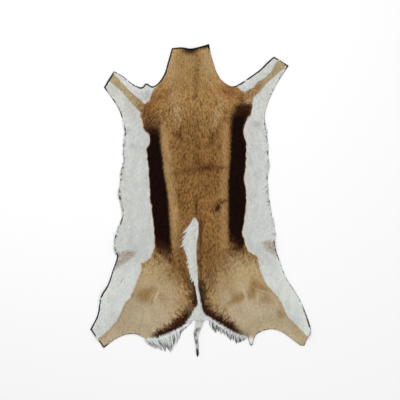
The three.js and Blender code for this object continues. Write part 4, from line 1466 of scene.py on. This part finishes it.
class HIDE_OT_stage(bpy.types.Operator):
    """Plain pale floor, soft studio light and the camera straight above"""

    bl_idname = "hide.stage"
    bl_label = "Stage"

    def execute(self, context):
        _, colours = settings()
        start_clean()
        bpy.ops.mesh.primitive_plane_add(size=8, location=(0, 0, FLOOR_LEVEL))
        floor = context.active_object
        floor.name = "floor"
        bpy.ops.object.transform_apply(location=True, rotation=True, scale=True)
        material, _, shader = new_material("Pale floor")
        shader.inputs["Base Color"].default_value = (*colours.floor, 1)
        shader.inputs["Roughness"].default_value = 0.9
        floor.data.materials.append(material)
        scene = context.scene
        world = bpy.data.worlds.new("Studio")
        world.use_nodes = True
        back = world.node_tree.nodes["Background"]
        back.inputs["Color"].default_value = (1, 1, 1, 1)
        back.inputs["Strength"].default_value = 0.72
        scene.world = world
        for name, place, size, power in (
            ("Key softbox", (-0.9, 1.5, 2.4), 1.6, 34),
            ("Fill softbox", (1.4, -0.6, 2.6), 2.4, 12),
        ):
            bpy.ops.object.light_add(type="AREA", location=place)
            light = context.active_object
            light.name = name
            light.data.shape = "SQUARE"
            light.data.size = size
            light.data.energy = power
            aim = -light.location.normalized()
            light.rotation_euler = aim.to_track_quat("-Z", "Y").to_euler()
        x, y = squares([VIEW_MIDDLE])[0]
        bpy.ops.object.camera_add(location=(x, y, CAMERA_HEIGHT), rotation=(0, 0, 0))
        camera = context.active_object
        camera.name = "camera"
        camera.data.sensor_width = SENSOR
        camera.data.lens = SENSOR * CAMERA_HEIGHT / (VIEW_SQUARES * SQUARE)
        scene.camera = camera
        scene.view_settings.view_transform = "Standard"
        return {"FINISHED"}


class HIDE_PT_panel(bpy.types.Panel):
    """Buttons for each piece of the hide and its sizes and colours"""

    bl_idname = "HIDE_PT_panel"
    bl_label = "Springbok hide"
    bl_space_type = "VIEW_3D"
    bl_region_type = "UI"
    bl_category = "Hide"

    def draw(self, context):
        column = self.layout.column(align=True)
        for operator in OPERATORS:
            column.operator(operator.bl_idname, text=operator.bl_label)
        for group, title in (
            (context.scene.hide_sizes, "Sizes"),
            (context.scene.hide_colours, "Colours"),
        ):
            box = self.layout.box()
            box.label(text=title)
            for name in type(group).__annotations__:
                box.prop(group, name)


OPERATORS = (
    HIDE_OT_skin,
    HIDE_OT_coat,
    HIDE_OT_rump_locks,
    HIDE_OT_belly_rims,
    HIDE_OT_back_fan,
    HIDE_OT_tail,
    HIDE_OT_stage,
)
CLASSES = (HideSizes, CoatColours, *OPERATORS, HIDE_PT_panel)


def register():
    for item in CLASSES:
        bpy.utils.register_class(item)
    bpy.types.Scene.hide_sizes = PointerProperty(type=HideSizes)
    bpy.types.Scene.hide_colours = PointerProperty(type=CoatColours)


def unregister():
    del bpy.types.Scene.hide_sizes
    del bpy.types.Scene.hide_colours
    for item in reversed(CLASSES):
        bpy.utils.unregister_class(item)


def main():
    register()
    bpy.ops.hide.skin()
    bpy.ops.hide.coat()
    bpy.ops.hide.rump_locks()
    bpy.ops.hide.belly_rims()
    bpy.ops.hide.back_fan()
    bpy.ops.hide.tail()
    bpy.ops.hide.stage()


if __name__ == "__main__":
    main()
